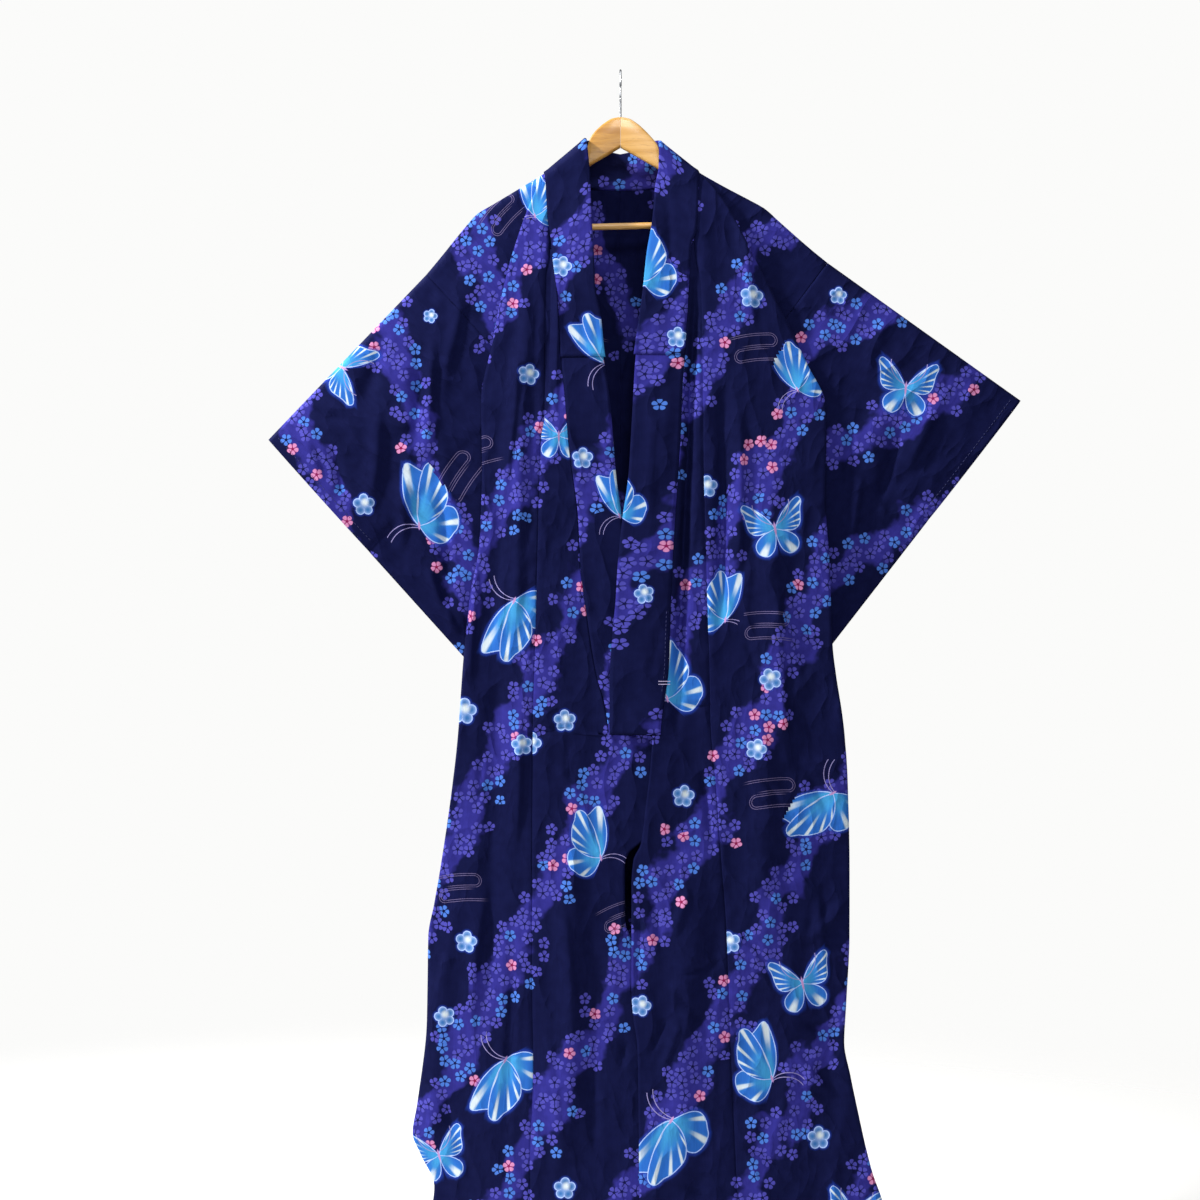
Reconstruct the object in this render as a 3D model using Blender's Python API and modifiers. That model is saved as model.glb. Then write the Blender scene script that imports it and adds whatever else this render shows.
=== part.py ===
"""Kimono robe (a cotton yukata) hanging flat on a wooden hanger.

Metres, +Z up. X runs across the shoulders with the wearer's left at +X, and the front faces -Y. The origin
is the top of the hook's inside, where a rail carries it. "Drop" is the distance below that point, "out" the
distance from the centre line, and "depth" the distance in front of or behind the hanger's plane.
"""
import math

import bmesh
import bpy
import numpy as np
from mathutils.kdtree import KDTree

# Driving sizes of the robe
CLOTH = 0.0015
COLLAR_CLOTH = 0.003
COVER_CLOTH = 0.001
SEAM_GAP = 0.0003
WELD_DISTANCE = 0.00001
HEM_DROP = 1.762
SLEEVE_DROP = 0.490
ARMHOLE = 0.230
SIDE_SLIT_END = 0.613
COLLAR_END = 1.0155
COVER_END = 0.445
NECK_TUCK = 0.007
NECK_SEAM_DROP = 0.174
NECK_SEAM_RISE = 0.0016
SLEEVE_SEAM_GAP = 0.0007
PANEL_SEAM_GAP = 0.0005
COLLAR_SEAM_GAP = 0.0009
COVER_CLEARANCE = 0.0004

# How far the cloth lies from the hanger's plane: at the ridge, further down, and in the panel's middle
RIDGE_ROUND = 0.010
HANG_DEPTH = 0.013
HANG_LENGTH = 0.12
PANEL_SWELL = 0.012

# The side pleat: the distance between its layers, at the top and in full, and where it grows
TOP_STEP = 0.0035
CLOTH_STEP = 0.008
PLEAT_TOP = 0.160
PLEAT_GROWTH = 0.07
PLEAT_START = 0.035
LAYER_ROUND = 0.008
SIDE_TURN = 0.012

# The hem's sides close up below this drop, over this length and by this share
CLOSING_TOP = 0.93
CLOSING_LENGTH = 0.35
SIDE_CLOSING = 0.8

# The lap of the left front over the right: its start, its growth, its half width and the fade beside it
LAP_TOP = 0.45
LAP_LENGTH = 0.17
LAP_HALF_WIDTH = 0.03
LAP_FADE = 0.09

# Half depths of the sleeve bag at its opening, below the armhole and in its middle
CUFF_HALF_DEPTH = 0.012
UNDERARM_HALF_DEPTH = 0.0225
SLEEVE_BILLOW = 0.009

# Driving sizes of the hanger
HOOK_WIRE = 0.0032
HOOK_RADIUS = 0.0195
HOOK_FOOT = 0.084
HOOK_HOLE = 0.0021
HOOK_HOLE_TOP = 0.060
ARM_HALF_THICKNESS = 0.0055
BAR_RADIUS = 0.0055
BAR_REACH = 0.186
SOCKET_REACH = 0.1865
SOCKET_CLEARANCE = 0.0001
BAR_CLEARANCE = 0.0005
BAR_DROP_RIGHT = 0.2425
BAR_DROP_LEFT = 0.2325
HEAD_INSET = 0.004
ARM_CLEARANCE = 0.0016
COLLAR_ROOM = 0.0090
COLLAR_ROOM_END = 0.112
COLLAR_ROOM_FADE = 0.012
HEEL_OUT = 0.2185
END_ROUNDING = (0.009, 0.006, 0.6)

# One dictionary a side. Rows of ridge are (out, drop). Rows of the other tables are (drop, out).
RIGHT = {
    "name": "right",
    "sign": -1,
    "top": 0.163,
    "ridge": ((0.055, 0.105), (0.0915, 0.138), (0.119, 0.158), (0.147, 0.175), (0.202, 0.208), (0.219, 0.218),
              (0.239, 0.240), (0.278, 0.288), (0.298, 0.312)),
    "fold": ((0.163, 0.1195), (0.235, 0.149), (0.341, 0.180), (0.423, 0.196), (0.509, 0.2125),
             (0.604, 0.211), (0.720, 0.2145), (0.807, 0.229), (0.901, 0.239), (1.021, 0.248),
             (1.106, 0.258), (1.207, 0.273),
             (1.277, 0.285), (1.326, 0.294), (1.455, 0.296), (1.583, 0.311), (1.627, 0.318), (1.659, 0.306),
             (1.709, 0.285), (1.762, 0.292)),
    "tuck": ((0.163, 0.1205), (0.200, 0.1165), (0.483, 0.078), (0.613, 0.085), (0.900, 0.090), (1.050, 0.140),
             (1.200, 0.200), (1.350, 0.250), (1.450, 0.268), (1.583, 0.280), (1.627, 0.284), (1.709, 0.262),
             (1.762, 0.264)),
    "seam": ((0.163, 0.1155), (0.226, 0.1118), (0.262, 0.1085), (0.278, 0.1075), (0.323, 0.1137), (0.535, 0.116),
             (0.566, 0.121), (0.723, 0.126), (0.880, 0.130), (1.006, 0.1335), (1.189, 0.1346), (1.381, 0.1346),
             (1.518, 0.133), (1.672, 0.138), (1.762, 0.138)),
    "collar_outer": ((0.158, 0.1165), (0.163, 0.1155), (0.226, 0.1115), (0.272, 0.1050), (0.357, 0.096),
                     (0.434, 0.092), (0.497, 0.085), (0.583, 0.078), (0.684, 0.065), (0.761, 0.061),
                     (0.817, 0.054), (0.880, 0.045), (0.929, 0.036), (0.967, 0.025), (1.016, 0.0175)),
    "collar_inner": ((0.105, 0.055), (0.158, 0.050), (0.237, 0.047), (0.289, 0.044), (0.338, 0.042),
                     (0.377, 0.034), (0.434, 0.028), (0.497, 0.018), (0.5675, 0.0115), (0.6275, 0.0065),
                     (0.6905, -0.002), (0.761, -0.009), (0.880, -0.025), (0.967, -0.045), (1.016, -0.052)),
    "front_edge": ((1.017, -0.050), (1.100, -0.030), (1.192, -0.007), (1.327, -0.007), (1.400, -0.020),
                   (1.500, -0.035), (1.762, -0.040)),
    "okumi_top": 0.278,
    "shoulder": (0.298, 0.312),
    "cuff": (0.541, 0.566),
    "underarm": (0.144, 0.483),
    "sleeve_corner": (0.213, 0.930),
    "sleeve_inner": (0.105, 0.720),
    "overlap": -0.004,
    "neck_half": 0.1155,
}
LEFT = {
    "name": "left",
    "sign": 1,
    "top": 0.160,
    "ridge": ((0.0615, 0.109), (0.0915, 0.135), (0.119, 0.154), (0.159, 0.177), (0.199, 0.198), (0.222, 0.211),
              (0.242, 0.229), (0.2945, 0.275), (0.318, 0.294)),
    "fold": ((0.160, 0.124), (0.2045, 0.159), (0.241, 0.179), (0.281, 0.199), (0.332, 0.225), (0.4045, 0.261),
             (0.455, 0.285), (0.515, 0.312), (0.555, 0.313), (0.650, 0.311), (0.752, 0.3176), (0.874, 0.322),
             (1.021, 0.341), (1.106, 0.347), (1.244, 0.350), (1.326, 0.350), (1.427, 0.345), (1.489, 0.342),
             (1.538, 0.351), (1.604, 0.365), (1.684, 0.384), (1.733, 0.401), (1.762, 0.408)),
    "tuck": ((0.160, 0.125), (0.195, 0.126), (0.300, 0.134), (0.478, 0.150), (0.613, 0.165), (0.900, 0.180),
             (1.050, 0.235), (1.200, 0.290), (1.326, 0.318), (1.489, 0.316), (1.604, 0.336), (1.762, 0.376)),
    "seam": ((0.160, 0.1203), (0.211, 0.1182), (0.238, 0.1166), (0.266, 0.1115), (0.294, 0.1135), (0.335, 0.122),
             (0.626, 0.126), (0.754, 0.1295), (0.9105, 0.134), (0.997, 0.136), (1.106, 0.145), (1.217, 0.153),
             (1.326, 0.161), (1.427, 0.164), (1.524, 0.168), (1.656, 0.174), (1.762, 0.178)),
    "collar_outer": ((0.154, 0.1205), (0.160, 0.1200), (0.251, 0.1150), (0.272, 0.107), (0.321, 0.104),
                     (0.4276, 0.098), (0.497, 0.093), (0.5675, 0.090), (0.661, 0.084), (0.720, 0.080),
                     (0.778, 0.077), (0.863, 0.074), (0.9136, 0.0724), (0.952, 0.0677), (0.992, 0.0615),
                     (1.016, 0.060)),
    "collar_inner": ((0.109, 0.0615), (0.151, 0.061), (0.178, 0.056), (0.234, 0.051), (0.289, 0.042),
                     (0.341, 0.0366), (0.392, 0.0295), (0.4476, 0.022), (0.497, 0.019), (0.5675, 0.015),
                     (0.6275, 0.011), (0.6905, 0.002), (0.755, -0.0046), (0.812, -0.008), (0.866, -0.013),
                     (0.9366, -0.017), (1.016, -0.017)),
    "front_edge": ((1.017, 0.042), (1.058, 0.032), (1.178, 0.031), (1.200, 0.019), (1.243, 0.016),
                   (1.400, 0.016), (1.446, 0.019), (1.489, 0.025), (1.762, 0.0285)),
    "okumi_top": 0.266,
    "shoulder": (0.318, 0.294),
    "cuff": (0.615, 0.506),
    "underarm": (0.180, 0.478),
    "sleeve_corner": (0.315, 0.893),
    "sleeve_inner": (0.205, 0.715),
    "overlap": 0.009,
    "neck_half": 0.120,
}

# Folds of the front, one a row: the side, the top and bottom end as (out, drop), the half width, and the
# height towards the viewer (a groove is negative).
FOLDS = (
    ("left", (0.113, 0.250), (0.082, 1.050), 0.009, -0.018),
    ("left", (0.158, 0.440), (0.152, 0.900), 0.010, -0.008),
    ("left", (0.230, 0.520), (0.215, 1.450), 0.022, 0.009),
    ("left", (0.300, 1.150), (0.330, 1.740), 0.020, -0.006),
    ("left", (0.110, 1.180), (0.085, 1.740), 0.022, 0.010),
    ("right", (0.142, 0.300), (0.162, 0.900), 0.011, 0.008),
    ("right", (0.185, 0.850), (0.205, 1.500), 0.018, -0.009),
    ("right", (0.070, 1.100), (0.085, 1.700), 0.020, 0.010),
    ("right", (0.265, 1.250), (0.290, 1.700), 0.018, 0.009),
)

# How far the collar's inner edge climbs above its outer edge over the shoulder: (drop, rise)
COLLAR_RISE = ((0.154, 0.052), (0.163, 0.050), (0.178, 0.045), (0.200, 0.037), (0.235, 0.027),
               (0.275, 0.017), (0.312, 0.009), (0.360, 0.0))

# The collar's standing top edge behind the neck, from the neck point to the centre: (out, drop, depth)
COLLAR_BACK_TOP = ((0.0560, 0.107, 0.010), (0.0500, 0.105, 0.021), (0.0400, 0.107, 0.036),
                   (0.0280, 0.111, 0.047), (0.0140, 0.1165, 0.054), (0.0, 0.119, 0.057))
COLLAR_BACK_SEAM = (1.0, 0.82, 0.60, 0.39, 0.19, 0.0)

# The hanger's domed head and its underside, which steps down to a heel that takes the bar: (out, drop)
ARM_HEAD = ((0.0, 0.0695), (0.012, 0.0715), (0.025, 0.079), (0.040, 0.0925))
ARM_UNDERSIDE = ((0.0, 0.117), (0.0515, 0.148), (0.100, 0.178), (0.150, 0.209), (0.172, 0.226), (0.182, 0.254),
                 (0.205, 0.260), (0.222, 0.250))
ARM_STATIONS = (0.0915, COLLAR_ROOM_END, COLLAR_ROOM_END + COLLAR_ROOM_FADE, 0.152, 0.172, 0.182, 0.202, 0.216)
ARM_END = 0.2215
ARM_SIDES = 12

# The hook's stem as drops, and its bend in degrees
HOOK_STEM = (HOOK_FOOT, 0.066, 0.052)
HOOK_BEND = (-72.0, 205.0)
HOOK_STATIONS = 22

# Rows and columns of the cloth's grids
FRONT_COLUMNS = 5
BACK_COLUMNS = 7
TURN_COLUMNS = 3
RETURN_COLUMNS = 2
COLLAR_COLUMNS = 4
OKUMI_COLUMNS = 5
ROW_CLEARANCE = (0.008, 0.02)
ROW_SPACING = 0.003
PLEAT_ROWS = (0.011, 0.016, 0.021, 0.027, 0.035)
BAG_ROWS = (0.295, 0.360, 0.425, 0.470, SLEEVE_DROP)
SLEEVE_COLUMNS = (0.0, 0.12, 0.30, 0.50, 0.70, 0.88, 1.0)
RIDGE_FRACTIONS = (0.0, 0.45, 0.75, 0.90, 0.97, 1.0)
ARMHOLE_SHARES = (0.0, 0.05, 0.28, 0.52, 0.76, 1.0)
CHEST_ROW = 2
HIP_ROW = 1.000
SPLIT_LABELS = ("_top", "_middle", "")
OKUMI_SPLIT = (0.0008, 0.0011)
LOWER_ROWS = (0.700, 0.800, 0.900, HIP_ROW, 1.100, 1.200, 1.300, 1.400, 1.500, 1.583, 1.627, 1.680, HEM_DROP)

NAVY = (0.012, 0.012, 0.060, 1.0)
VIOLET = (0.030, 0.024, 0.150, 1.0)
WOOD = (0.62, 0.36, 0.14, 1.0)
DARK_WOOD = (0.50, 0.27, 0.10, 1.0)
STEEL = (0.55, 0.56, 0.58, 1.0)


def interpolate(table, value):
    """Read a table of (key, value) rows at one key or an array of keys."""
    rows = np.array(table)
    return np.interp(value, rows[:, 0], rows[:, 1])


def ease(value):
    """Go smoothly from 0 to 1 as the value does."""
    value = np.clip(value, 0.0, 1.0)
    return value * value * (3.0 - 2.0 * value)


def body_rows(side):
    """List the drops of a body length's rows, with one at each end of the armhole."""
    shoulder = side["shoulder"][1]
    underarm = side["underarm"][1]
    top = side["top"]
    after_top, before_shoulder = ROW_CLEARANCE
    ridge = sorted([drop for out, drop in side["ridge"] if top + after_top < drop < shoulder - before_shoulder]
                   + [top + below for below in PLEAT_ROWS])
    ridge = [drop for drop, above in zip(ridge, [top] + ridge) if drop - above > ROW_SPACING]
    armhole = [shoulder + (underarm - shoulder) * share for share in ARMHOLE_SHARES]
    slit = [0.5 * (underarm + SIDE_SLIT_END), SIDE_SLIT_END]
    return [top] + ridge + armhole + slit + list(LOWER_ROWS)


def below_ridge(side, out, drop):
    """Measure how far a place lies below the shoulder's ridge."""
    return np.maximum(drop - interpolate(side["ridge"], np.abs(out)), 0.0)


def fold_relief(side, out, drop):
    """Add up the soft ridges and grooves of one side's front."""
    total = np.zeros(np.broadcast(out, drop).shape)
    for name, top, bottom, half_width, height in FOLDS:
        if name != side["name"]:
            continue
        along = (drop - top[1]) / (bottom[1] - top[1])
        centre = top[0] + (bottom[0] - top[0]) * along
        fade = ease(along / 0.25) * ease((1.0 - along) / 0.25)
        total = total + height * fade * np.exp(-((out - centre) / half_width) ** 2)
    from_collar = np.maximum(out - interpolate(side["collar_outer"], drop), 0.0)
    calm = np.where(drop > COLLAR_END, 1.0, 1.0 - np.exp(-(from_collar / 0.009) ** 2))
    return total * calm


def layer_step(drop):
    """Distance from one layer of the side pleat to the next."""
    return TOP_STEP + (CLOTH_STEP - TOP_STEP) * ease((drop - PLEAT_TOP) / PLEAT_GROWTH)


def cloth_depth(side, out, drop, level, front):
    """Depth of the cloth from the hanger's plane.

    Level 2 is the outer layer, 1 the return behind the side fold and 0 the layer that carries the sleeve.
    """
    ridge = below_ridge(side, out, drop)
    depth = RIDGE_ROUND * np.sqrt(np.minimum(ridge / RIDGE_ROUND, 1.0))
    depth = depth + HANG_DEPTH * (1.0 - np.exp(-ridge / HANG_LENGTH))
    edge = interpolate(side["fold"], drop)
    closing = SIDE_CLOSING * ease((drop - CLOSING_TOP) / CLOSING_LENGTH)
    depth = depth * (1.0 - closing * np.minimum(np.abs(out / edge), 1.0) ** 3)
    depth = depth + level * layer_step(drop) * np.minimum(ridge / LAYER_ROUND, 1.0)
    outer = np.clip(level - 1.0, 0.0, 1.0)
    swell = PANEL_SWELL * np.clip(1.0 - (out / edge) ** 2, 0.0, 1.0)
    if not front:
        return depth + outer * swell
    depth = depth + outer * (swell * ease((drop - PLEAT_TOP) / 0.2) + fold_relief(side, out, drop))
    lapped = ease((drop - LAP_TOP) / LAP_LENGTH) * (1.0 - ease((np.abs(out) - LAP_HALF_WIDTH) / LAP_FADE))
    return depth + outer * side["overlap"] * lapped


def neckline(side, out):
    """Drop of the back neck seam, lowest at the centre."""
    half = side["neck_half"]
    return NECK_SEAM_DROP - (NECK_SEAM_DROP - side["top"]) * np.minimum(np.abs(out) / half, 1.0) ** 2


def place(side, out, drop, depth, front):
    """Turn out, drop and depth into points."""
    out, drop, depth = np.broadcast_arrays(out, drop, depth)
    return np.stack((side["sign"] * out, -depth if front else depth, -drop), axis=-1)


def outer_edge(side, drop):
    """Out of the body length's side: the ridge, then the sleeve seam, then the side seam."""
    shoulder, underarm = side["shoulder"], side["underarm"]
    if drop <= shoulder[1]:
        rows = np.array(side["ridge"])
        return np.interp(drop, rows[:, 1], rows[:, 0])
    along = min((drop - shoulder[1]) / (underarm[1] - shoulder[1]), 1.0)
    return shoulder[0] + (underarm[0] - shoulder[0]) * along


def body_row(side, drop, front):
    """One level row of a body length, from its inner edge to its side, with the pleat at the side."""
    start = interpolate(side["seam"], drop) + PANEL_SEAM_GAP if front else 0.5 * SEAM_GAP
    fold = interpolate(side["fold"], drop)
    tuck = interpolate(side["tuck"], drop)
    edge = outer_edge(side, drop)
    radius = 0.5 * layer_step(drop)
    panel = np.linspace(start, fold - radius, (FRONT_COLUMNS if front else BACK_COLUMNS) + 1)
    turn = np.linspace(-0.5 * math.pi, 0.5 * math.pi, TURN_COLUMNS + 1)[1:]
    back_to_tuck = np.linspace(fold - radius, tuck + radius, RETURN_COLUMNS + 1)[1:]
    to_edge = tuck + radius + (edge - tuck - radius) * np.array(RIDGE_FRACTIONS[1:])
    out = np.concatenate((panel, fold - radius + radius * np.cos(turn), back_to_tuck,
                          tuck + radius - radius * np.cos(turn), to_edge))
    level = np.concatenate((np.full(len(panel), 2.0), 1.5 - 0.5 * np.sin(turn), np.ones(RETURN_COLUMNS),
                            0.5 - 0.5 * np.sin(turn), np.zeros(len(to_edge))))
    drops = np.full(len(out), drop)
    rest = len(out) - len(panel)
    smooth_out = np.linspace(fold - radius, edge, rest + 1)[1:]
    pleat = ease((drop - side["top"]) / PLEAT_START)
    out[-rest:] = smooth_out + (out[-rest:] - smooth_out) * pleat
    level[-rest:] = np.linspace(2.0, 0.0, rest + 1)[1:] * (1.0 - pleat) + level[-rest:] * pleat
    if not front:
        raised = (neckline(side, out) - side["top"]) * max(0.0, 1.0 - (drop - side["top"]) / 0.06)
        drops = drops + np.where(out < side["neck_half"], raised, 0.0)
    depth = cloth_depth(side, out, drops, level, front)
    if drop < side["shoulder"][1] + 1e-6:
        depth[-1] = 0.0
    closing = float(ease((drop - side["underarm"][1]) / (SIDE_SLIT_END - side["underarm"][1])))
    if closing > 0.0:
        inner = TURN_COLUMNS + len(RIDGE_FRACTIONS) - 1
        angle = np.linspace(0.0, 0.5 * math.pi, inner + 1)[1:]
        start_out = tuck + SIDE_TURN
        start_depth = cloth_depth(side, start_out, drop, 1.0, front)
        round_out = start_out - SIDE_TURN * np.sin(angle)
        round_depth = start_depth * np.cos(angle)
        round_depth[-1] = 0.0
        out[-inner:] += (round_out - out[-inner:]) * closing
        depth[-inner:] += (round_depth - depth[-inner:]) * closing
    return place(side, out, drops, depth, front)


def collar_rows(side):
    """Drops of the collar's front stations, shared with the body's rows so that the seams match."""
    rows = [drop for drop in body_rows(side) if drop < COLLAR_END - 0.01]
    return rows + [COLLAR_END]


def collar_station(side, drop, fractions):
    """One line across the front of the collar band, from its outer to its inner edge."""
    inner_drop = drop - interpolate(COLLAR_RISE, drop)
    outer_out = interpolate(side["collar_outer"], drop)
    inner_out = interpolate(side["collar_inner"], inner_drop)
    out = outer_out + (inner_out - outer_out) * fractions
    drops = drop + (inner_drop - drop) * fractions
    return place(side, out, drops, cloth_depth(side, out, drops, 2.0, True), True)


def collar_grid(fractions):
    """The whole band as stations from the wearer's right end, round the neck, to the left end."""
    halves = []
    for side in (RIGHT, LEFT):
        stations = [collar_station(side, drop, fractions) for drop in reversed(collar_rows(side))]
        ridge = np.array(side["ridge"])
        near = np.interp(side["top"] - NECK_TUCK, ridge[:, 1], ridge[:, 0])
        outs = near + (ridge[0, 0] - near) * fractions
        stations.append(place(side, outs, interpolate(ridge, outs), 0.0, True))
        for (top_out, top_drop, top_depth), share in zip(COLLAR_BACK_TOP, COLLAR_BACK_SEAM):
            seam_out = share * side["neck_half"]
            seam_drop = neckline(side, seam_out) - NECK_SEAM_RISE
            seam_depth = cloth_depth(side, seam_out, seam_drop, 2.0, False)
            seam = place(side, seam_out, seam_drop, seam_depth, False)
            top = place(side, top_out * ridge[0, 0] / 0.056, top_drop, top_depth, False)
            stations.append(seam + (top - seam) * fractions[:, None])
        halves.append(stations)
    right, left = halves
    return np.array(right + left[-2::-1])


def okumi_grid(side):
    """The front overlap panel between the body's seam and the collar, then the front edge."""
    body = np.array(body_rows(side))
    rows = [drop for drop in body if drop > side["okumi_top"] - 1e-6]
    rows = sorted(rows + [COLLAR_END + below for below in OKUMI_SPLIT])
    fractions = np.linspace(0.0, 1.0, OKUMI_COLUMNS + 1)
    seam_at_rows = interpolate(side["seam"], body)
    grid = []
    for drop in rows:
        seam = np.interp(drop, body, seam_at_rows)
        if drop <= COLLAR_END + OKUMI_SPLIT[0]:
            edge = interpolate(side["collar_outer"], min(drop, COLLAR_END)) + COLLAR_SEAM_GAP
        else:
            edge = interpolate(side["front_edge"], drop)
        out = seam + (edge - seam) * fractions
        grid.append(place(side, out, drop, cloth_depth(side, out, drop, 2.0, True), True))
    return np.array(grid)


def sleeve_grid(side, front):
    """One layer of the sleeve bag, from the armhole edge to the cuff edge."""
    shoulder, cuff = np.array(side["shoulder"]), np.array(side["cuff"])
    underarm, corner, inner = (np.array(side[key]) for key in ("underarm", "sleeve_corner", "sleeve_inner"))
    outward = (cuff - shoulder) / np.linalg.norm(cuff - shoulder)
    down = [ARMHOLE * share for share in ARMHOLE_SHARES] + list(BAG_ROWS)
    along = np.array(SLEEVE_COLUMNS)
    rows = []
    for distance in down:
        if distance <= ARMHOLE:
            armhole = shoulder + (underarm - shoulder) * distance / ARMHOLE
            half = float(cloth_depth(side, armhole[0], armhole[1], 0.0, front))
            cuff_half = 0.0
            if distance == 0.0:
                half = 0.0
            elif distance < ARMHOLE:
                cuff_half = CUFF_HALF_DEPTH * math.sqrt(math.sin(math.pi * distance / ARMHOLE))
        else:
            share = (distance - ARMHOLE) / (SLEEVE_DROP - ARMHOLE)
            armhole = underarm + (inner - underarm) * share
            half = UNDERARM_HALF_DEPTH * math.sqrt(max(0.0, 1.0 - share ** 2))
            cuff_half = 0.0
        start = armhole + outward * SLEEVE_SEAM_GAP
        end = cuff + (corner - cuff) * distance / SLEEVE_DROP
        spot = start + (end - start) * along[:, None]
        billow = SLEEVE_BILLOW * np.sin(math.pi * along) * math.sin(math.pi * distance / SLEEVE_DROP)
        billow[-1] = 0.0
        if distance == SLEEVE_DROP:
            billow[:] = 0.0
        depth = half + (cuff_half - half) * along + billow
        rows.append(place(side, spot[:, 0], spot[:, 1], depth, front))
    return np.array(rows)


def fill_grid(form, points):
    """Add a grid of faces to a bmesh and move its vertices to the points."""
    rows, columns = points.shape[:2]
    made = bmesh.ops.create_grid(form, x_segments=columns - 1, y_segments=rows - 1, size=1.0)["verts"]
    for vertex, point in zip(made, points.reshape(-1, 3)):
        vertex.co = point
    return made


def grid_normals(points):
    """The vertex normals that the Solidify modifier follows."""
    form = bmesh.new()
    vertices = list(fill_grid(form, points))
    bmesh.ops.triangulate(form, faces=form.faces, quad_method="SHORT_EDGE")
    form.normal_update()
    normals = np.array([tuple(vertex.normal) for vertex in vertices]).reshape(points.shape)
    form.free()
    return normals


def cover_grid(part):
    """The cover collar: both faces of the band moved out, joined by a turn round its inner edge."""
    away = 0.5 * COLLAR_CLOTH + COVER_CLEARANCE + 0.5 * COVER_CLOTH
    normals = grid_normals(part)
    inward = part[:, -1] - part[:, -2]
    inward /= np.linalg.norm(inward, axis=1, keepdims=True)
    rim, rim_normal = part[:, -1], normals[:, -1]
    turn = np.stack((rim + rim_normal * away + inward * 0.001, rim + inward * 0.003,
                     rim - rim_normal * away + inward * 0.001), axis=1)
    return np.concatenate((part + normals * away, turn, (part - normals * away)[:, ::-1]), axis=1)


def material(name, colour, roughness, metallic=0.0):
    """A Principled material for one sub-part."""
    made = bpy.data.materials.new(name)
    made.use_nodes = True
    shader = made.node_tree.nodes["Principled BSDF"]
    shader.inputs["Base Color"].default_value = colour
    shader.inputs["Roughness"].default_value = roughness
    shader.inputs["Metallic"].default_value = metallic
    return made


def add_object(name, mesh, made, collection):
    """Link a mesh as a named object with its material."""
    mesh.materials.append(made)
    mesh.shade_smooth()
    made_object = bpy.data.objects.new(name, mesh)
    collection.objects.link(made_object)
    return made_object


def weld(grids):
    """Weld grids of points into one triangulated surface whose normals point out."""
    form = bmesh.new()
    for points in grids:
        fill_grid(form, points)
    bmesh.ops.remove_doubles(form, verts=form.verts, dist=WELD_DISTANCE)
    bmesh.ops.recalc_face_normals(form, faces=form.faces)
    bmesh.ops.triangulate(form, faces=form.faces, quad_method="SHORT_EDGE")
    return form


def add_sheet(name, grids, wall, made, collection):
    """Make an open surface from one or more grids of points and give it a wall."""
    form = weld(grids)
    mesh = bpy.data.meshes.new(name)
    form.to_mesh(mesh)
    form.free()
    sheet = add_object(name, mesh, made, collection)
    shell = sheet.modifiers.new("wall", "SOLIDIFY")
    shell.thickness = wall
    shell.offset = 0.0
    return sheet


def welded_normals(grids):
    """Vertex normals of the surface that the grids make together, as one array for each grid."""
    form = weld(grids)
    form.normal_update()
    spots = KDTree(len(form.verts))
    for vertex in form.verts:
        spots.insert(vertex.co, vertex.index)
    spots.balance()
    form.verts.ensure_lookup_table()
    normals = [np.array([tuple(form.verts[spots.find(point)[1]].normal) for point in points.reshape(-1, 3)])
               for points in grids]
    form.free()
    return [found.reshape(points.shape) for found, points in zip(normals, grids)]


def trim(points, column, inner):
    """Draw the points of an edge column in by half a seam gap."""
    inward = points[:, inner] - points[:, column]
    points[:, column] += 0.5 * SEAM_GAP * inward / np.linalg.norm(inward, axis=1, keepdims=True)


def add_split(name, points, normals, cuts, made, collection):
    """A grid as solids that meet at some of its rows."""
    last_row = len(points) - 1
    for label, first, last in zip(SPLIT_LABELS, [0] + cuts, cuts + [last_row]):
        part = points[first:last + 1].copy()
        if first > 0:
            trim(part.swapaxes(0, 1), 0, 1)
        if last < last_row:
            trim(part.swapaxes(0, 1), -1, -2)
        add_wall(name + label, part, normals[first:last + 1], CLOTH, made, collection)


def add_wall(name, points, normals, wall, made, collection):
    """A closed solid whose two faces lie half a wall either side of a grid."""
    rows, columns = points.shape[:2]
    faces_out = np.arange(rows * columns).reshape(rows, columns)
    faces_in = faces_out + rows * columns
    corners = np.concatenate(((points + 0.5 * wall * normals).reshape(-1, 3),
                              (points - 0.5 * wall * normals).reshape(-1, 3)))
    quads = []
    for grid, turned in ((faces_out, False), (faces_in, True)):
        quad = np.stack((grid[:-1, :-1], grid[:-1, 1:], grid[1:, 1:], grid[1:, :-1]), axis=-1).reshape(-1, 4)
        quads.append(quad[:, ::-1] if turned else quad)
    rim = np.concatenate((faces_out[0, :-1], faces_out[:-1, -1], faces_out[-1, :0:-1], faces_out[:0:-1, 0]))
    after = np.roll(rim, -1)
    quads.append(np.stack((rim, rim + rows * columns, after + rows * columns, after), axis=-1))
    mesh = bpy.data.meshes.new(name)
    mesh.from_pydata(corners.tolist(), [], np.concatenate(quads).tolist())
    form = bmesh.new()
    form.from_mesh(mesh)
    bmesh.ops.recalc_face_normals(form, faces=form.faces)
    bmesh.ops.triangulate(form, faces=form.faces, quad_method="SHORT_EDGE")
    form.to_mesh(mesh)
    form.free()
    return add_object(name, mesh, made, collection)


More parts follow.
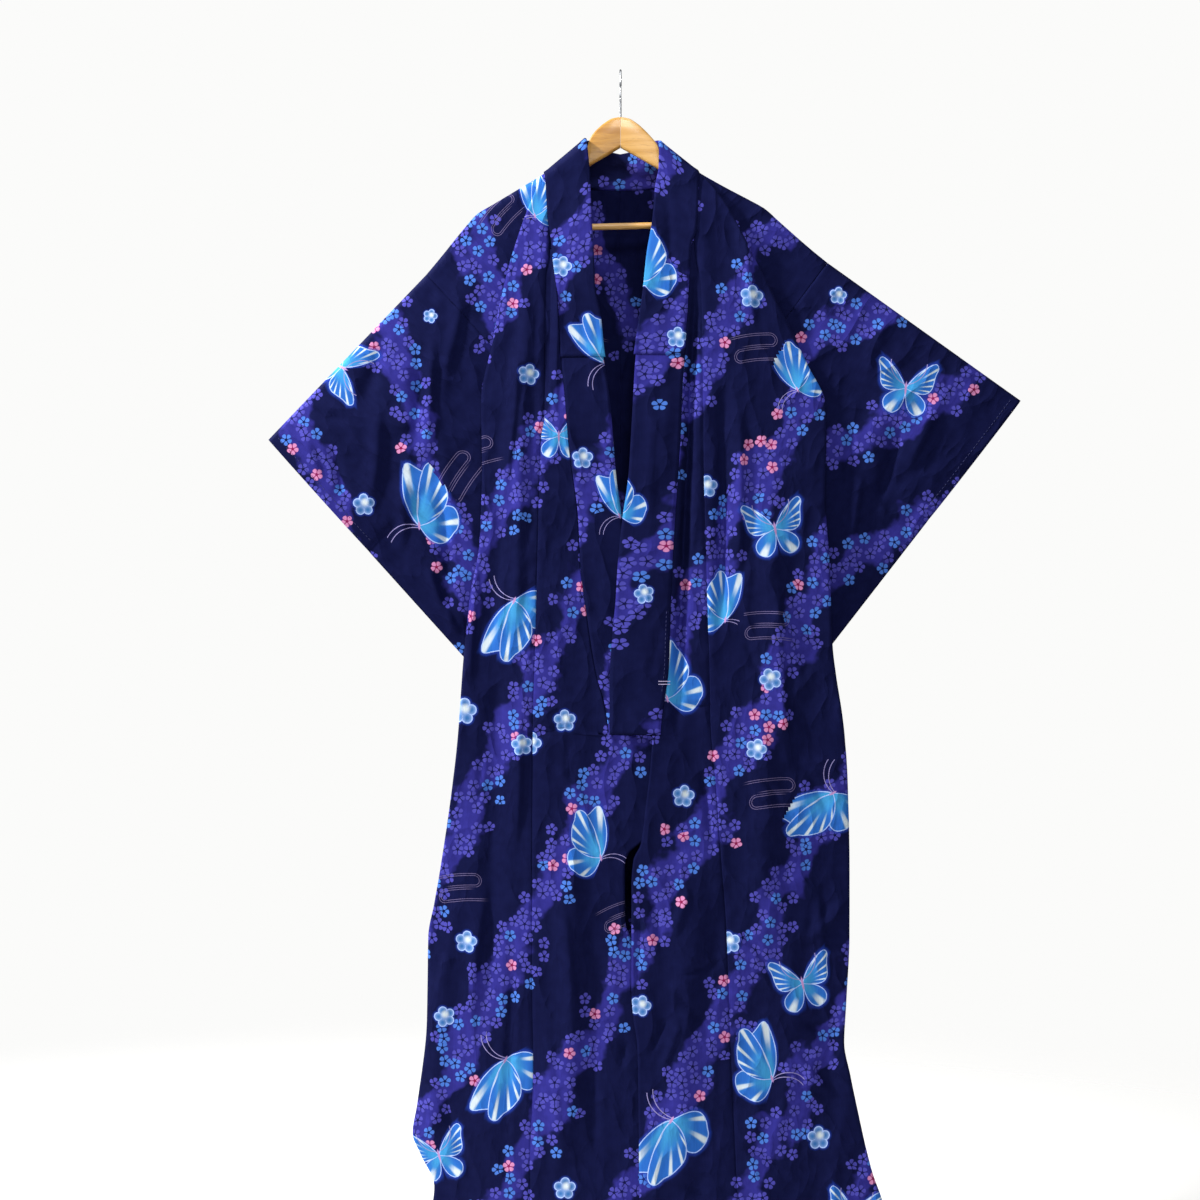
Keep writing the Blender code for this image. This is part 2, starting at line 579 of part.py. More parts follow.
def add_body(side, made, collection):
    """One body length as solids that meet at the ridge, the side seam and the back of each side fold.

    The front is also split at the chest and the hip, so that its collision stays out of the hollow.
    """
    rows = body_rows(side)
    grids = [np.array([body_row(side, drop, front) for drop in rows]) for front in (True, False)]
    cuts = [rows.index(side["shoulder"][1]) + CHEST_ROW, rows.index(HIP_ROW)]
    for label, points, normals in zip(("front", "back"), grids, welded_normals(grids)):
        name = f"body_{side['name']}_{label}"
        split = (FRONT_COLUMNS if label == "front" else BACK_COLUMNS) + TURN_COLUMNS
        panel, pleat = points[:, :split + 1].copy(), points[:, split:].copy()
        trim(panel, -1, -2)
        trim(pleat, 0, 1)
        shared = np.abs(pleat[:, -1, 1]) < WELD_DISTANCE
        drawn = pleat.copy()
        trim(drawn, -1, -2)
        pleat[shared, -1] = drawn[shared, -1]
        add_wall(name + "_pleat", pleat, normals[:, split:], CLOTH, made, collection)
        if label == "front":
            add_split(name, panel, normals[:, :split + 1], cuts, made, collection)
        else:
            add_wall(name, panel, normals[:, :split + 1], CLOTH, made, collection)


def add_garment(collection):
    """The body lengths, overlap panels, sleeves and collars."""
    for side in (RIGHT, LEFT):
        name = side["name"]
        add_body(side, material("body_cotton_" + name, NAVY, 0.85), collection)
        okumi, finish = okumi_grid(side), material("okumi_cotton_" + name, VIOLET, 0.85)
        beside_collar = int(np.sum(-okumi[:, 0, 2] < COLLAR_END + 0.5 * sum(OKUMI_SPLIT)))
        add_sheet(f"okumi_{name}_top", (okumi[:beside_collar],), CLOTH, finish, collection)
        add_sheet("okumi_" + name, (okumi[beside_collar:],), CLOTH, finish, collection)
        add_sheet("sleeve_" + name, (sleeve_grid(side, True), sleeve_grid(side, False)), CLOTH,
                  material("sleeve_cotton_" + name, NAVY, 0.85), collection)
    band = collar_grid(np.linspace(0.0, 1.0, COLLAR_COLUMNS + 1))
    add_sheet("collar", (band,), COLLAR_CLOTH, material("collar_cotton", NAVY, 0.85), collection)

    below_cover = [sum(drop > COVER_END for drop in collar_rows(side)) for side in (RIGHT, LEFT)]
    covered = band[below_cover[0]:len(band) - below_cover[1]]
    add_sheet("over_collar", (cover_grid(covered),), COVER_CLOTH,
              material("over_collar_cotton", VIOLET, 0.85), collection)


def arm_top(side, out):
    """Drop of a hanger arm's top: the domed head, then just under the cloth's ridge."""
    neck_out, neck_drop = side["ridge"][0]
    if out <= neck_out - HEAD_INSET:
        return float(interpolate(ARM_HEAD + ((neck_out - HEAD_INSET, neck_drop + 0.003),), out))
    under_collar = COLLAR_ROOM * (1.0 - float(ease((out - COLLAR_ROOM_END) / COLLAR_ROOM_FADE)))
    return float(interpolate(side["ridge"], out)) + ARM_CLEARANCE + under_collar


def arm_bottom(side, out):
    """Drop of a hanger arm's underside, which leans with the hanger."""
    lean = float(interpolate(side["ridge"], HEEL_OUT)) - float(interpolate(RIGHT["ridge"], HEEL_OUT))
    return float(interpolate(ARM_UNDERSIDE, out)) + lean * out / HEEL_OUT


def add_arm(side, collection, cutters):
    """One half of the hanger, lofted from the head to the rounded end."""
    neck_out = side["ridge"][0][0]
    outs = [0.5 * SEAM_GAP] + [out for out, drop in ARM_HEAD[1:]] + [neck_out - HEAD_INSET, neck_out]
    outs = outs + list(ARM_STATIONS) + [ARM_END]
    angles = np.linspace(0.0, 2.0 * math.pi, ARM_SIDES + 1)[:-1]
    outline = [(math.cos(angle), math.sin(angle)) for angle in angles]
    form = bmesh.new()
    rings = []
    for out in outs:
        top, bottom = arm_top(side, min(out, ARM_STATIONS[-1])), arm_bottom(side, out)
        half = ARM_HALF_THICKNESS
        if out == ARM_END:
            top, bottom, half = top + END_ROUNDING[0], bottom - END_ROUNDING[1], END_ROUNDING[2] * half
        straight = 0.5 * (bottom - top) - half
        ring = []
        for across, up in outline:
            drop = 0.5 * (top + bottom) - half * up - math.copysign(straight, up)
            ring.append(form.verts.new((side["sign"] * out, half * across, -drop)))
        rings.append(ring)
    for first, second in zip(rings, rings[1:]):
        for index in range(len(outline)):
            after = (index + 1) % len(outline)
            form.faces.new((first[index], first[after], second[after], second[index]))
    form.faces.new(rings[0])
    form.faces.new(rings[-1])
    bmesh.ops.recalc_face_normals(form, faces=form.faces)
    mesh = bpy.data.meshes.new("hanger_arm_" + side["name"])
    form.to_mesh(mesh)
    form.free()
    colour = DARK_WOOD if side is RIGHT else WOOD
    made = material("hanger_wood_" + side["name"], colour, 0.45)
    arm = add_object("hanger_arm_" + side["name"], mesh, made, collection)
    for cutter in cutters:
        cut = arm.modifiers.new(cutter.name, "BOOLEAN")
        cut.operation = "DIFFERENCE"
        cut.object = cutter


def add_rod(name, start, end, radius, segments, made, collection):
    """A round rod between two points, as a capped cylinder."""
    start, end = np.array(start), np.array(end)
    length = float(np.linalg.norm(end - start))
    form = bmesh.new()
    bmesh.ops.create_cone(form, cap_ends=True, segments=segments, radius1=radius, radius2=radius, depth=length)
    mesh = bpy.data.meshes.new(name)
    form.to_mesh(mesh)
    form.free()
    rod = add_object(name, mesh, made, collection)
    rod.location = 0.5 * (start + end)
    tilt = math.atan2(end[0] - start[0], end[2] - start[2])
    rod.rotation_euler = (0.0, tilt, 0.0)
    return rod


def add_cutter(name, start, end, radius, collection):
    """A rod that cuts a hole and is left out of the build."""
    cutter = add_rod(name, start, end, radius, 24, material(name, STEEL, 0.5), collection)
    cutter.hide_render = True
    cutter.display_type = "WIRE"
    return cutter


def add_hook(collection):
    """The wire hook, seen edge on from the front: a stem and most of a circle."""
    stem = [(0.0, -drop) for drop in HOOK_STEM]
    angles = np.radians(np.linspace(HOOK_BEND[0], HOOK_BEND[1], HOOK_STATIONS))
    centre = -HOOK_RADIUS
    middle = HOOK_RADIUS + 0.5 * HOOK_WIRE
    route = stem + [(middle * math.cos(angle), centre + middle * math.sin(angle)) for angle in angles]
    curve = bpy.data.curves.new("hook", "CURVE")
    curve.dimensions = "3D"
    curve.bevel_depth = 0.5 * HOOK_WIRE
    curve.bevel_resolution = 2
    curve.use_fill_caps = True
    spline = curve.splines.new("POLY")
    spline.points.add(len(route) - 1)
    for point, (depth, height) in zip(spline.points, route):
        point.co = (0.0, depth, height, 1.0)
    curve.materials.append(material("hook_steel", STEEL, 0.25, 1.0))
    hook = bpy.data.objects.new("hook", curve)
    collection.objects.link(hook)


def main():
    """Clear the scene and build the robe and its hanger."""
    for old in list(bpy.data.objects):
        bpy.data.objects.remove(old)
    collection = bpy.data.collections.new("kimono_robe_on_hanger")
    cutter_collection = bpy.data.collections.new("cutters")
    for made in (collection, cutter_collection):
        bpy.context.scene.collection.children.link(made)
    slope = (BAR_DROP_RIGHT - BAR_DROP_LEFT) / (2.0 * BAR_REACH)
    level = 0.5 * (BAR_DROP_RIGHT + BAR_DROP_LEFT)
    ends = [(out, 0.0, -level + slope * out) for out in (-BAR_REACH, BAR_REACH)]
    sockets = [(out, 0.0, -level + slope * out) for out in (-SOCKET_REACH, SOCKET_REACH)]
    socket = add_cutter("bar_socket", sockets[0], sockets[1], BAR_RADIUS - SOCKET_CLEARANCE, cutter_collection)
    hole = add_cutter("hook_hole", (0.0, 0.0, -HOOK_FOOT - SEAM_GAP), (0.0, 0.0, -HOOK_HOLE_TOP), HOOK_HOLE,
                      cutter_collection)
    for side in (RIGHT, LEFT):
        add_arm(side, collection, (socket, hole))
    add_rod("trouser_bar", ends[0], ends[1], BAR_RADIUS - BAR_CLEARANCE, 20, material("bar_wood", WOOD, 0.45),
            collection)
    add_hook(collection)
    add_garment(collection)


main()
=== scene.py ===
import math

import bmesh
import bpy
import numpy as np
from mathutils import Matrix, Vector


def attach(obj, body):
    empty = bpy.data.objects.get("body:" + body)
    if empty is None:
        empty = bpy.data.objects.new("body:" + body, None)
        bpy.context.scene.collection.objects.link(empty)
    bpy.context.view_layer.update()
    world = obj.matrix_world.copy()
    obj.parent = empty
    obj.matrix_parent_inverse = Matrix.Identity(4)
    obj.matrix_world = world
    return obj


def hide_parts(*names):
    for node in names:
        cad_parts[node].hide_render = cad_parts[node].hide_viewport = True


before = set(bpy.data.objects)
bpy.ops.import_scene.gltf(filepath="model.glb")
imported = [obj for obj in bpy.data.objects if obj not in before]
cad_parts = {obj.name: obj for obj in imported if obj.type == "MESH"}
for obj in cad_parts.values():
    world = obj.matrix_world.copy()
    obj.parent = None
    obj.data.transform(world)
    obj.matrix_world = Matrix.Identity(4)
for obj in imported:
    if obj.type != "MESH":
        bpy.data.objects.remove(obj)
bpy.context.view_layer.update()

# Metres, Z up, and the robe's front faces -Y. The origin is the inside top of the hanger's hook. "Drop" is
# the distance below it, "out" the distance from the centre line, and "depth" the distance from the hanger's
# plane. "Right" and "left" are the wearer's, so the right side is at -X.

cloth = {
    "thickness": 0.0008,       # plain-weave cotton, drawn about twice as thick as the real one
    "rowStep": 0.0056,
    "sleeveGap": 0.0002,
    "collarGap": 0.0004,
    "seamGroove": 0.0016,      # how far a seam is pressed in
    "seamHalfWidth": 0.0035,
    "hemDrop": 1.762,
    "hemFold": 0.015,
    "sleeveDrop": 0.490,
    "armhole": 0.230,
    "slitEnd": 0.613,
    "collarEnd": 1.0155,
    "coverEnd": 0.445,
    "neckTuck": 0.007,
    "neckSeamDrop": 0.174,
    "neckSeamRise": -0.0020,
    "underCollar": 0.0025,
    "capStart": 0.004,
    "weld": 0.00002,
}
hemSeam = cloth["hemDrop"] - cloth["hemFold"]

hang = {                       # how far the cloth lies from the hanger's plane
    "ridgeRound": 0.010,
    "depth": 0.013,
    "length": 0.12,
    "swell": 0.012,
    "topStep": 0.0035,         # layers of the side pleat, at the top
    "step": 0.008,             # and in full
    "pleatTop": 0.160,
    "pleatGrowth": 0.07,
    "pleatStart": 0.035,
    "layerRound": 0.008,
    "sideTurn": 0.012,
    "closingTop": 0.93,
    "closingLength": 0.35,
    "closing": 0.8,
    "lapTop": 0.45,
    "lapLength": 0.17,
    "lapHalfWidth": 0.03,
    "lapFade": 0.09,
    "cuffHalfDepth": 0.012,
    "underarmHalfDepth": 0.0225,
    "billow": 0.009,
    "troughRoom": 0.006,       # creases of the outer layer go no deeper than this over the pleat,
    "ridgeRoom": 0.0015,       # and those of the layers beneath it rise no higher than this
    "freeRoom": 0.02,          # away from the pleat both have this much more,
    "tuckFade": 0.03,          # and it comes in over these widths
    "foldFade": 0.02,
    "calm": 0.05,              # creases come in over this drop below the ridge
    "swellLength": 0.2,
    "mainFoldFade": 0.25,
    "besideCollar": 0.009,     # the main folds fade out beside the collar
    "besideFade": 0.05,
}

# Rows of ridge are (out, drop). Rows of the other tables are (drop, out).
right = {
    "name": "right",
    "sign": -1,
    "top": 0.163,
    "ridge": ((0.055, 0.105), (0.0915, 0.138), (0.119, 0.158), (0.147, 0.175), (0.202, 0.208), (0.219, 0.218),
              (0.239, 0.240), (0.278, 0.288), (0.298, 0.312)),
    "fold": ((0.163, 0.1195), (0.235, 0.149), (0.341, 0.180), (0.423, 0.196), (0.509, 0.2125),
             (0.604, 0.211), (0.720, 0.2145), (0.807, 0.229), (0.901, 0.239), (1.021, 0.248),
             (1.106, 0.258), (1.207, 0.273), (1.277, 0.285), (1.326, 0.294), (1.455, 0.296),
             (1.583, 0.311), (1.627, 0.318), (1.659, 0.306), (1.709, 0.285), (1.762, 0.292)),
    "tuck": ((0.163, 0.1205), (0.200, 0.1165), (0.483, 0.078), (0.613, 0.085), (0.900, 0.090), (1.050, 0.140),
             (1.200, 0.200), (1.350, 0.250), (1.450, 0.268), (1.583, 0.280), (1.627, 0.284), (1.709, 0.262),
             (1.762, 0.264)),
    "seam": ((0.163, 0.1155), (0.226, 0.1118), (0.262, 0.1085), (0.278, 0.1075), (0.323, 0.1137),
             (0.535, 0.116), (0.566, 0.121), (0.723, 0.126), (0.880, 0.130), (1.006, 0.1335),
             (1.189, 0.1346), (1.381, 0.1346), (1.518, 0.133), (1.672, 0.138), (1.762, 0.138)),
    "collarOuter": ((0.158, 0.1165), (0.163, 0.1155), (0.226, 0.1115), (0.272, 0.1050), (0.357, 0.096),
                    (0.434, 0.092), (0.497, 0.085), (0.583, 0.078), (0.684, 0.065), (0.761, 0.061),
                    (0.817, 0.054), (0.880, 0.045), (0.929, 0.036), (0.967, 0.025), (1.016, 0.0175)),
    "collarInner": ((0.105, 0.055), (0.158, 0.050), (0.237, 0.047), (0.289, 0.044), (0.338, 0.042),
                    (0.377, 0.034), (0.434, 0.028), (0.497, 0.018), (0.5675, 0.0115), (0.6275, 0.0065),
                    (0.6905, -0.002), (0.761, -0.009), (0.880, -0.025), (0.967, -0.045), (1.016, -0.052)),
    "frontEdge": ((1.017, -0.056), (1.100, -0.052), (1.170, -0.040), (1.196, -0.012), (1.215, -0.006),
                  (1.300, -0.007), (1.335, -0.018), (1.400, -0.022),
                  (1.500, -0.035), (1.762, -0.040)),
    "okumiTop": 0.278,
    "shoulder": (0.298, 0.312),
    "cuff": (0.541, 0.566),
    "underarm": (0.144, 0.483),
    "sleeveCorner": (0.213, 0.930),
    "sleeveInner": (0.105, 0.720),
    "overlap": -0.004,
    "neckHalf": 0.1155,
    "grainTurn": 45.7,         # how far the sleeve's grain is turned on the hanger, in degrees
}
left = {
    "name": "left",
    "sign": 1,
    "top": 0.160,
    "ridge": ((0.0615, 0.109), (0.0915, 0.135), (0.119, 0.154), (0.159, 0.177), (0.199, 0.198), (0.222, 0.211),
              (0.242, 0.229), (0.2945, 0.275), (0.318, 0.294)),
    "fold": ((0.160, 0.124), (0.2045, 0.159), (0.241, 0.179), (0.281, 0.199), (0.332, 0.225), (0.4045, 0.261),
             (0.455, 0.285), (0.515, 0.312), (0.555, 0.313), (0.650, 0.311), (0.752, 0.3176), (0.874, 0.322),
             (1.021, 0.341), (1.106, 0.347), (1.244, 0.350), (1.326, 0.350), (1.427, 0.345), (1.489, 0.342),
             (1.538, 0.351), (1.604, 0.365), (1.684, 0.384), (1.733, 0.401), (1.762, 0.408)),
    "tuck": ((0.160, 0.125), (0.195, 0.126), (0.300, 0.134), (0.478, 0.150), (0.613, 0.165), (0.900, 0.180),
             (1.050, 0.235), (1.200, 0.290), (1.326, 0.318), (1.489, 0.316), (1.604, 0.336), (1.762, 0.376)),
    "seam": ((0.160, 0.1203), (0.211, 0.1182), (0.238, 0.1166), (0.266, 0.1115), (0.294, 0.1135),
             (0.335, 0.122), (0.626, 0.126), (0.754, 0.1295), (0.9105, 0.134), (0.997, 0.136),
             (1.106, 0.145), (1.217, 0.153), (1.326, 0.161), (1.427, 0.164), (1.524, 0.168),
             (1.656, 0.174), (1.762, 0.178)),
    "collarOuter": ((0.154, 0.1205), (0.160, 0.1200), (0.251, 0.1150), (0.272, 0.107), (0.321, 0.104),
                    (0.4276, 0.098), (0.497, 0.093), (0.5675, 0.090), (0.661, 0.084), (0.720, 0.080),
                    (0.778, 0.077), (0.863, 0.074), (0.9136, 0.0724), (0.952, 0.0677), (0.992, 0.0615),
                    (1.016, 0.060)),
    "collarInner": ((0.109, 0.0615), (0.151, 0.061), (0.178, 0.056), (0.234, 0.051), (0.289, 0.042),
                    (0.341, 0.0366), (0.392, 0.0295), (0.4476, 0.022), (0.497, 0.019), (0.5675, 0.015),
                    (0.6275, 0.011), (0.6905, 0.002), (0.755, -0.0046), (0.812, -0.008), (0.866, -0.013),
                    (0.9366, -0.017), (1.016, -0.017)),
    "frontEdge": ((1.017, 0.048), (1.061, 0.045), (1.120, 0.038), (1.181, 0.030), (1.205, 0.019), (1.243, 0.016),
                  (1.400, 0.016), (1.446, 0.019), (1.489, 0.025), (1.762, 0.0285)),
    "okumiTop": 0.266,
    "shoulder": (0.318, 0.294),
    "cuff": (0.615, 0.506),
    "underarm": (0.180, 0.478),
    "sleeveCorner": (0.315, 0.893),
    "sleeveInner": (0.205, 0.715),
    "overlap": 0.009,
    "neckHalf": 0.120,
    "grainTurn": -35.5,
}

# The large folds that the solids have too, one a row: side, top and bottom as (out, drop), half width, height
mainFolds = (
    ("left", (0.113, 0.250), (0.082, 1.050), 0.009, -0.018),
    ("left", (0.158, 0.440), (0.152, 0.900), 0.010, -0.008),
    ("left", (0.230, 0.520), (0.215, 1.450), 0.022, 0.009),
    ("left", (0.300, 1.150), (0.330, 1.740), 0.020, -0.006),
    ("left", (0.110, 1.180), (0.085, 1.740), 0.022, 0.010),
    ("right", (0.142, 0.300), (0.162, 0.900), 0.011, 0.008),
    ("right", (0.185, 0.850), (0.205, 1.500), 0.018, -0.009),
    ("right", (0.070, 1.100), (0.085, 1.700), 0.020, 0.010),
    ("right", (0.265, 1.250), (0.290, 1.700), 0.018, 0.009),
)

collarRise = ((0.154, 0.052), (0.163, 0.050), (0.178, 0.045), (0.200, 0.037), (0.235, 0.027),
              (0.275, 0.017), (0.312, 0.009), (0.360, 0.0))      # drop, rise of the inner edge
collarBackTop = ((0.0560, 0.107, 0.010), (0.0500, 0.105, 0.021), (0.0400, 0.107, 0.036),
                 (0.0280, 0.111, 0.047), (0.0140, 0.1165, 0.054), (0.0, 0.119, 0.057))  # out, drop, depth
collarBackSeam = (1.0, 0.82, 0.60, 0.39, 0.19, 0.0)

# Creases of the cloth in millimetres: start as x and drop, end as x and drop, half width, height
# towards the viewer (a trough is negative), and how far the middle bows sideways. Each list is for one layer.
creases = {
    "front": (
        (-104, 220, -115, 566, 5, -4.8, 2), (-93, 243, -99, 551, 5, 4, 0), (-155, 397, -185, 689, 9, 6.4, 6),
        (-178, 658, -198, 904, 8, -6.4, 0), (-219, 751, -231, 966, 7, 5.6, 0), (-211, 1038, -221, 1143, 5, -4, 2),
        (-155, 966, -162, 1212, 8, 5.6, 5), (-135, 1020, -62, 1000, 4, -4, 3), (-82, 1027, -73, 1104, 5, -4, 0),
        (-99, 1066, -55, 1120, 5, 4, 3), (-47, 820, -13, 846, 4, -5.6, 0), (-47, 861, -15, 900, 4, -5.6, 2),
        (-32, 904, -4, 950, 4, 4.8, 0), (-262, 1212, -293, 1427, 10, -7.2, 8),
        (-201, 1227, -231, 1504, 9, 6.4, -5), (-162, 1273, -178, 1704, 8, -6.4, 4),
        (-278, 1550, -216, 1719, 8, -6.4, 0), (-93, 1243, -70, 1520, 9, 6.4, 6),
        (-47, 1350, -32, 1719, 8, -6.4, -4), (-116, 1427, -85, 1704, 8, 4.8, 0), (10, 1478, -1, 1530, 4, -4.8, 0),
        (188, 869, 224, 981, 5, -5.6, 4), (92, 975, 141, 970, 4, -4, 0), (210, 1081, 245, 1120, 4, -4.8, 2),
        (256, 955, 296, 1035, 5, -5.6, 0), (230, 812, 276, 950, 8, 5.6, 5), (122, 1058, 145, 1212, 5, -4.8, 0),
        (76, 1401, 138, 1473, 5, -5.6, 3), (87, 1381, 164, 1355, 4, -4.8, 0), (72, 1443, 42, 1504, 4, -5.6, 0),
        (92, 1438, 56, 1535, 4, 4.8, 2), (179, 1309, 225, 1370, 5, -4.8, 3), (271, 1443, 345, 1512, 7, -8, 4),
        (256, 1493, 327, 1573, 7, 7.2, 0), (179, 1638, 261, 1692, 6, -6.4, 3), (92, 1689, 141, 1730, 5, -4.8, 0),
        (161, 612, 151, 843, 6, -6.4, 0), (181, 504, 176, 812, 8, 6.4, 4), (238, 751, 261, 1120, 10, 6.4, -6),
        (299, 1243, 315, 1427, 8, 5.6, 0), (261, 1197, 215, 1273, 6, -4.8, 4), (45, 1243, 68, 1366, 6, -4.8, 0),
        (107, 1243, 79, 1335, 6, 4.8, -3), (30, 1273, 24, 1427, 4, -4.8, 0), (61, 843, 38, 950, 4, -4.8, 2),
        (-19, 580, -75, 575, 4, -6.4, 2), (7, 966, 45, 1020, 5, 4.8, 0), (-55, 351, -32, 535, 6, 4.8, 3),
        (68, 166, 79, 397, 6, -4.8, 3), (53, 474, 45, 751, 6, 4.8, -3), (215, 197, 261, 397, 9, -6.4, 5),
        (184, 166, 202, 412, 8, 6.4, 0), (-185, 258, -231, 412, 9, -6.4, 5), (-161, 220, -198, 397, 7, 6.4, -3),
        (322, 1150, 276, 1058, 6, -4.8, 0), (345, 1273, 276, 1335, 7, 5.6, 4),
    ),
    "sleeves": (
        (-308, 401, -313, 589, 12, -9.6, 5), (-282, 397, -293, 612, 9, 8, -4), (-319, 335, -278, 346, 4, -4, 2),
        (-488, 515, -411, 546, 4, -4.8, 3), (-278, 628, -262, 843, 8, -7.2, 5), (-301, 751, -247, 874, 6, 6.4, 0),
        (-370, 504, -385, 689, 10, 7.2, 6), (-447, 551, -416, 689, 9, -6.4, 0), (-231, 289, -278, 504, 9, 6.4, 4),
        (-493, 535, -447, 658, 7, 4.8, 0), (-282, 761, -262, 854, 5, -4.8, 0), (-355, 351, -401, 535, 12, -7.2, 6),
        (358, 807, 316, 769, 5, -8, 2), (345, 789, 325, 874, 5, -7.2, 0), (238, 258, 368, 351, 10, -7.2, 6),
        (276, 243, 430, 381, 12, 7.2, -5), (430, 535, 384, 689, 10, -7.2, 5), (491, 504, 430, 628, 9, 6.4, 0),
        (368, 612, 345, 751, 8, 6.4, 3), (522, 443, 584, 504, 6, -4.8, 0), (353, 535, 345, 658, 7, -6.4, 0),
        (384, 428, 476, 535, 9, -5.6, 5), (-247, 874, -219, 812, 5, -5.6, 0), (-331, 612, -339, 751, 8, 5.6, 4),
    ),
    "back": (
        (-104, 351, -115, 689, 9, -7.2, 6), (107, 320, 122, 689, 9, -7.2, -6), (-155, 443, -185, 812, 10, 7.2, 5),
        (184, 397, 202, 751, 10, 7.2, -4), (-219, 812, -235, 1120, 8, -6.4, 4), (-32, 535, -44, 966, 8, 5.6, 0),
        (45, 658, 61, 1058, 8, -5.6, 4), (153, 874, 176, 1212, 9, -6.4, 5), (238, 812, 261, 1181, 9, 6.4, -5),
        (-139, 1058, -47, 1120, 5, -5.6, 4), (-93, 1243, -116, 1520, 9, 6.4, 6),
        (-185, 1273, -216, 1581, 9, -7.2, -6), (-16, 1320, 2, 1704, 8, -6.4, 4), (107, 1273, 92, 1612, 9, 7.2, 0),
        (215, 1335, 276, 1520, 7, -7.2, 5), (276, 1489, 353, 1596, 7, 6.4, 0), (45, 1520, 122, 1596, 5, -5.6, 3),
        (-262, 1458, -231, 1704, 8, 6.4, 4), (-93, 874, -32, 843, 4, -4.8, 3), (76, 966, 30, 1027, 4, -4.8, 0),
        (322, 1212, 276, 1304, 6, -5.6, 3), (168, 1627, 261, 1704, 6, -5.6, 0),
    ),
    "sleeveBacks": (
        (-324, 397, -339, 612, 11, -8, 5), (-278, 412, -290, 658, 9, 7.2, -4), (-401, 474, -416, 658, 10, 6.4, 5),
        (-462, 551, -424, 689, 8, -6.4, 0), (-231, 320, -255, 535, 9, 6.4, 4), (-278, 720, -244, 874, 6, -6.4, 0),
        (245, 274, 368, 366, 10, -7.2, 6), (307, 289, 438, 412, 11, 7.2, -5), (430, 551, 376, 720, 10, -7.2, 5),
        (499, 504, 438, 628, 9, 6.4, 0), (353, 751, 330, 874, 6, -6.4, 0), (368, 566, 353, 720, 8, 6.4, 3),
        (-355, 689, -308, 812, 7, -5.6, 3), (522, 458, 584, 520, 6, -4.8, 0),
    ),
}
creasing = {
    "gain": 1.3,               # deepens every crease
    "steepSide": 0.7,          # one flank is steeper than the other
    "gentleSide": 1.3,
    "fadeIn": 0.3,             # shares of a crease's length
    "fadeOut": 0.4,
}
crumpling = {
    # seed and turn of each layer, then size, height and stretch of each wave
    "layers": {"front": (11, 12.0), "sleeves": (21, 0.0), "back": (31, -10.0), "sleeveBacks": (41, 5.0)},
    "waves": ((0.070, 0.0042, 1.8), (0.042, 0.0028, 1.5), (0.026, 0.0015, 1.2)),
    "gain": 1.6,
    "ridge": 0.35,
    "wander": (0.012, 0.09),   # how far the ridges wander, and over what length
    "patch": (0.17, 0.24),     # some areas lie smoother: how wide and long they are
    "smoothest": 0.35,
}


def read(table, value):  # a smooth curve through a table's rows that never overshoots them
    rows = np.array(table)
    key, height = rows[:, 0], rows[:, 1]
    step = np.diff(key)
    slope = np.diff(height) / step
    lean = np.zeros_like(height)
    same = slope[:-1] * slope[1:] > 0.0
    lean[1:-1][same] = 2.0 * slope[:-1][same] * slope[1:][same] / (slope[:-1][same] + slope[1:][same])
    lean[0], lean[-1] = slope[0], slope[-1]
    index = np.clip(np.searchsorted(key, value) - 1, 0, len(step) - 1)
    t = np.clip((value - key[index]) / step[index], 0.0, 1.0)
    start = height[index] * (1.0 + 2.0 * t) * (1.0 - t) ** 2 + height[index + 1] * t * t * (3.0 - 2.0 * t)
    return start + step[index] * (lean[index] * t * (1.0 - t) ** 2 - lean[index + 1] * t * t * (1.0 - t))


def ease(value):
    value = np.clip(value, 0.0, 1.0)
    return value * value * (3.0 - 2.0 * value)


def ripple(across, along, seed):  # smooth random heights from -1 to 1, one a unit
    lattice = np.random.default_rng(seed).uniform(-1.0, 1.0, (64, 64))
    across, along = np.broadcast_arrays(across, along)
    column, row = np.floor(across).astype(int), np.floor(along).astype(int)
    x, y = ease(across - column), ease(along - row)
    corners = [lattice[(row + up) % 64, (column + over) % 64] for up in (0, 1) for over in (0, 1)]
    return (corners[0] * (1 - x) + corners[1] * x) * (1 - y) + (corners[2] * (1 - x) + corners[3] * x) * y


def crumple(x, drop, seed, turn):  # sharp little ridges where the random heights cross zero
    turned = math.radians(turn)
    across = x * math.cos(turned) + drop * math.sin(turned)
    along = drop * math.cos(turned) - x * math.sin(turned)
    far, length = crumpling["wander"]
    across = across + far * ripple(across / length, along / length, seed + 5)
    total = 0.0
    for index, (size, height, stretch) in enumerate(crumpling["waves"]):
        wave = ripple(across / size, along / (size * stretch), seed + index)
        total = total + height * (crumpling["ridge"] - np.abs(wave)) * crumpling["gain"]
    wide, long = crumpling["patch"]
    patch = ease(0.5 + 0.8 * ripple(across / wide, along / long, seed + 9))
    return total * (crumpling["smoothest"] + (1.0 - crumpling["smoothest"]) * patch)


def creaseDepth(layer, x, drop):  # adds up one layer's creases
    total = np.zeros(np.broadcast(x, drop).shape)
    for startX, startDrop, endX, endDrop, halfWidth, height, bow in np.array(creases[layer]) / 1000.0:
        run = endX - startX, endDrop - startDrop
        length = float(np.hypot(*run))
        along = ((x - startX) * run[0] + (drop - startDrop) * run[1]) / length ** 2
        aside = ((x - startX) * run[1] - (drop - startDrop) * run[0]) / length
        aside = aside - bow * np.sin(math.pi * np.clip(along, 0.0, 1.0))
        width = halfWidth * np.where(aside > 0.0, creasing["steepSide"], creasing["gentleSide"])
        fade = ease(along / creasing["fadeIn"]) * ease((1.0 - along) / creasing["fadeOut"])
        total = total + creasing["gain"] * height * fade * np.exp(-(aside / width) ** 2)
    return total


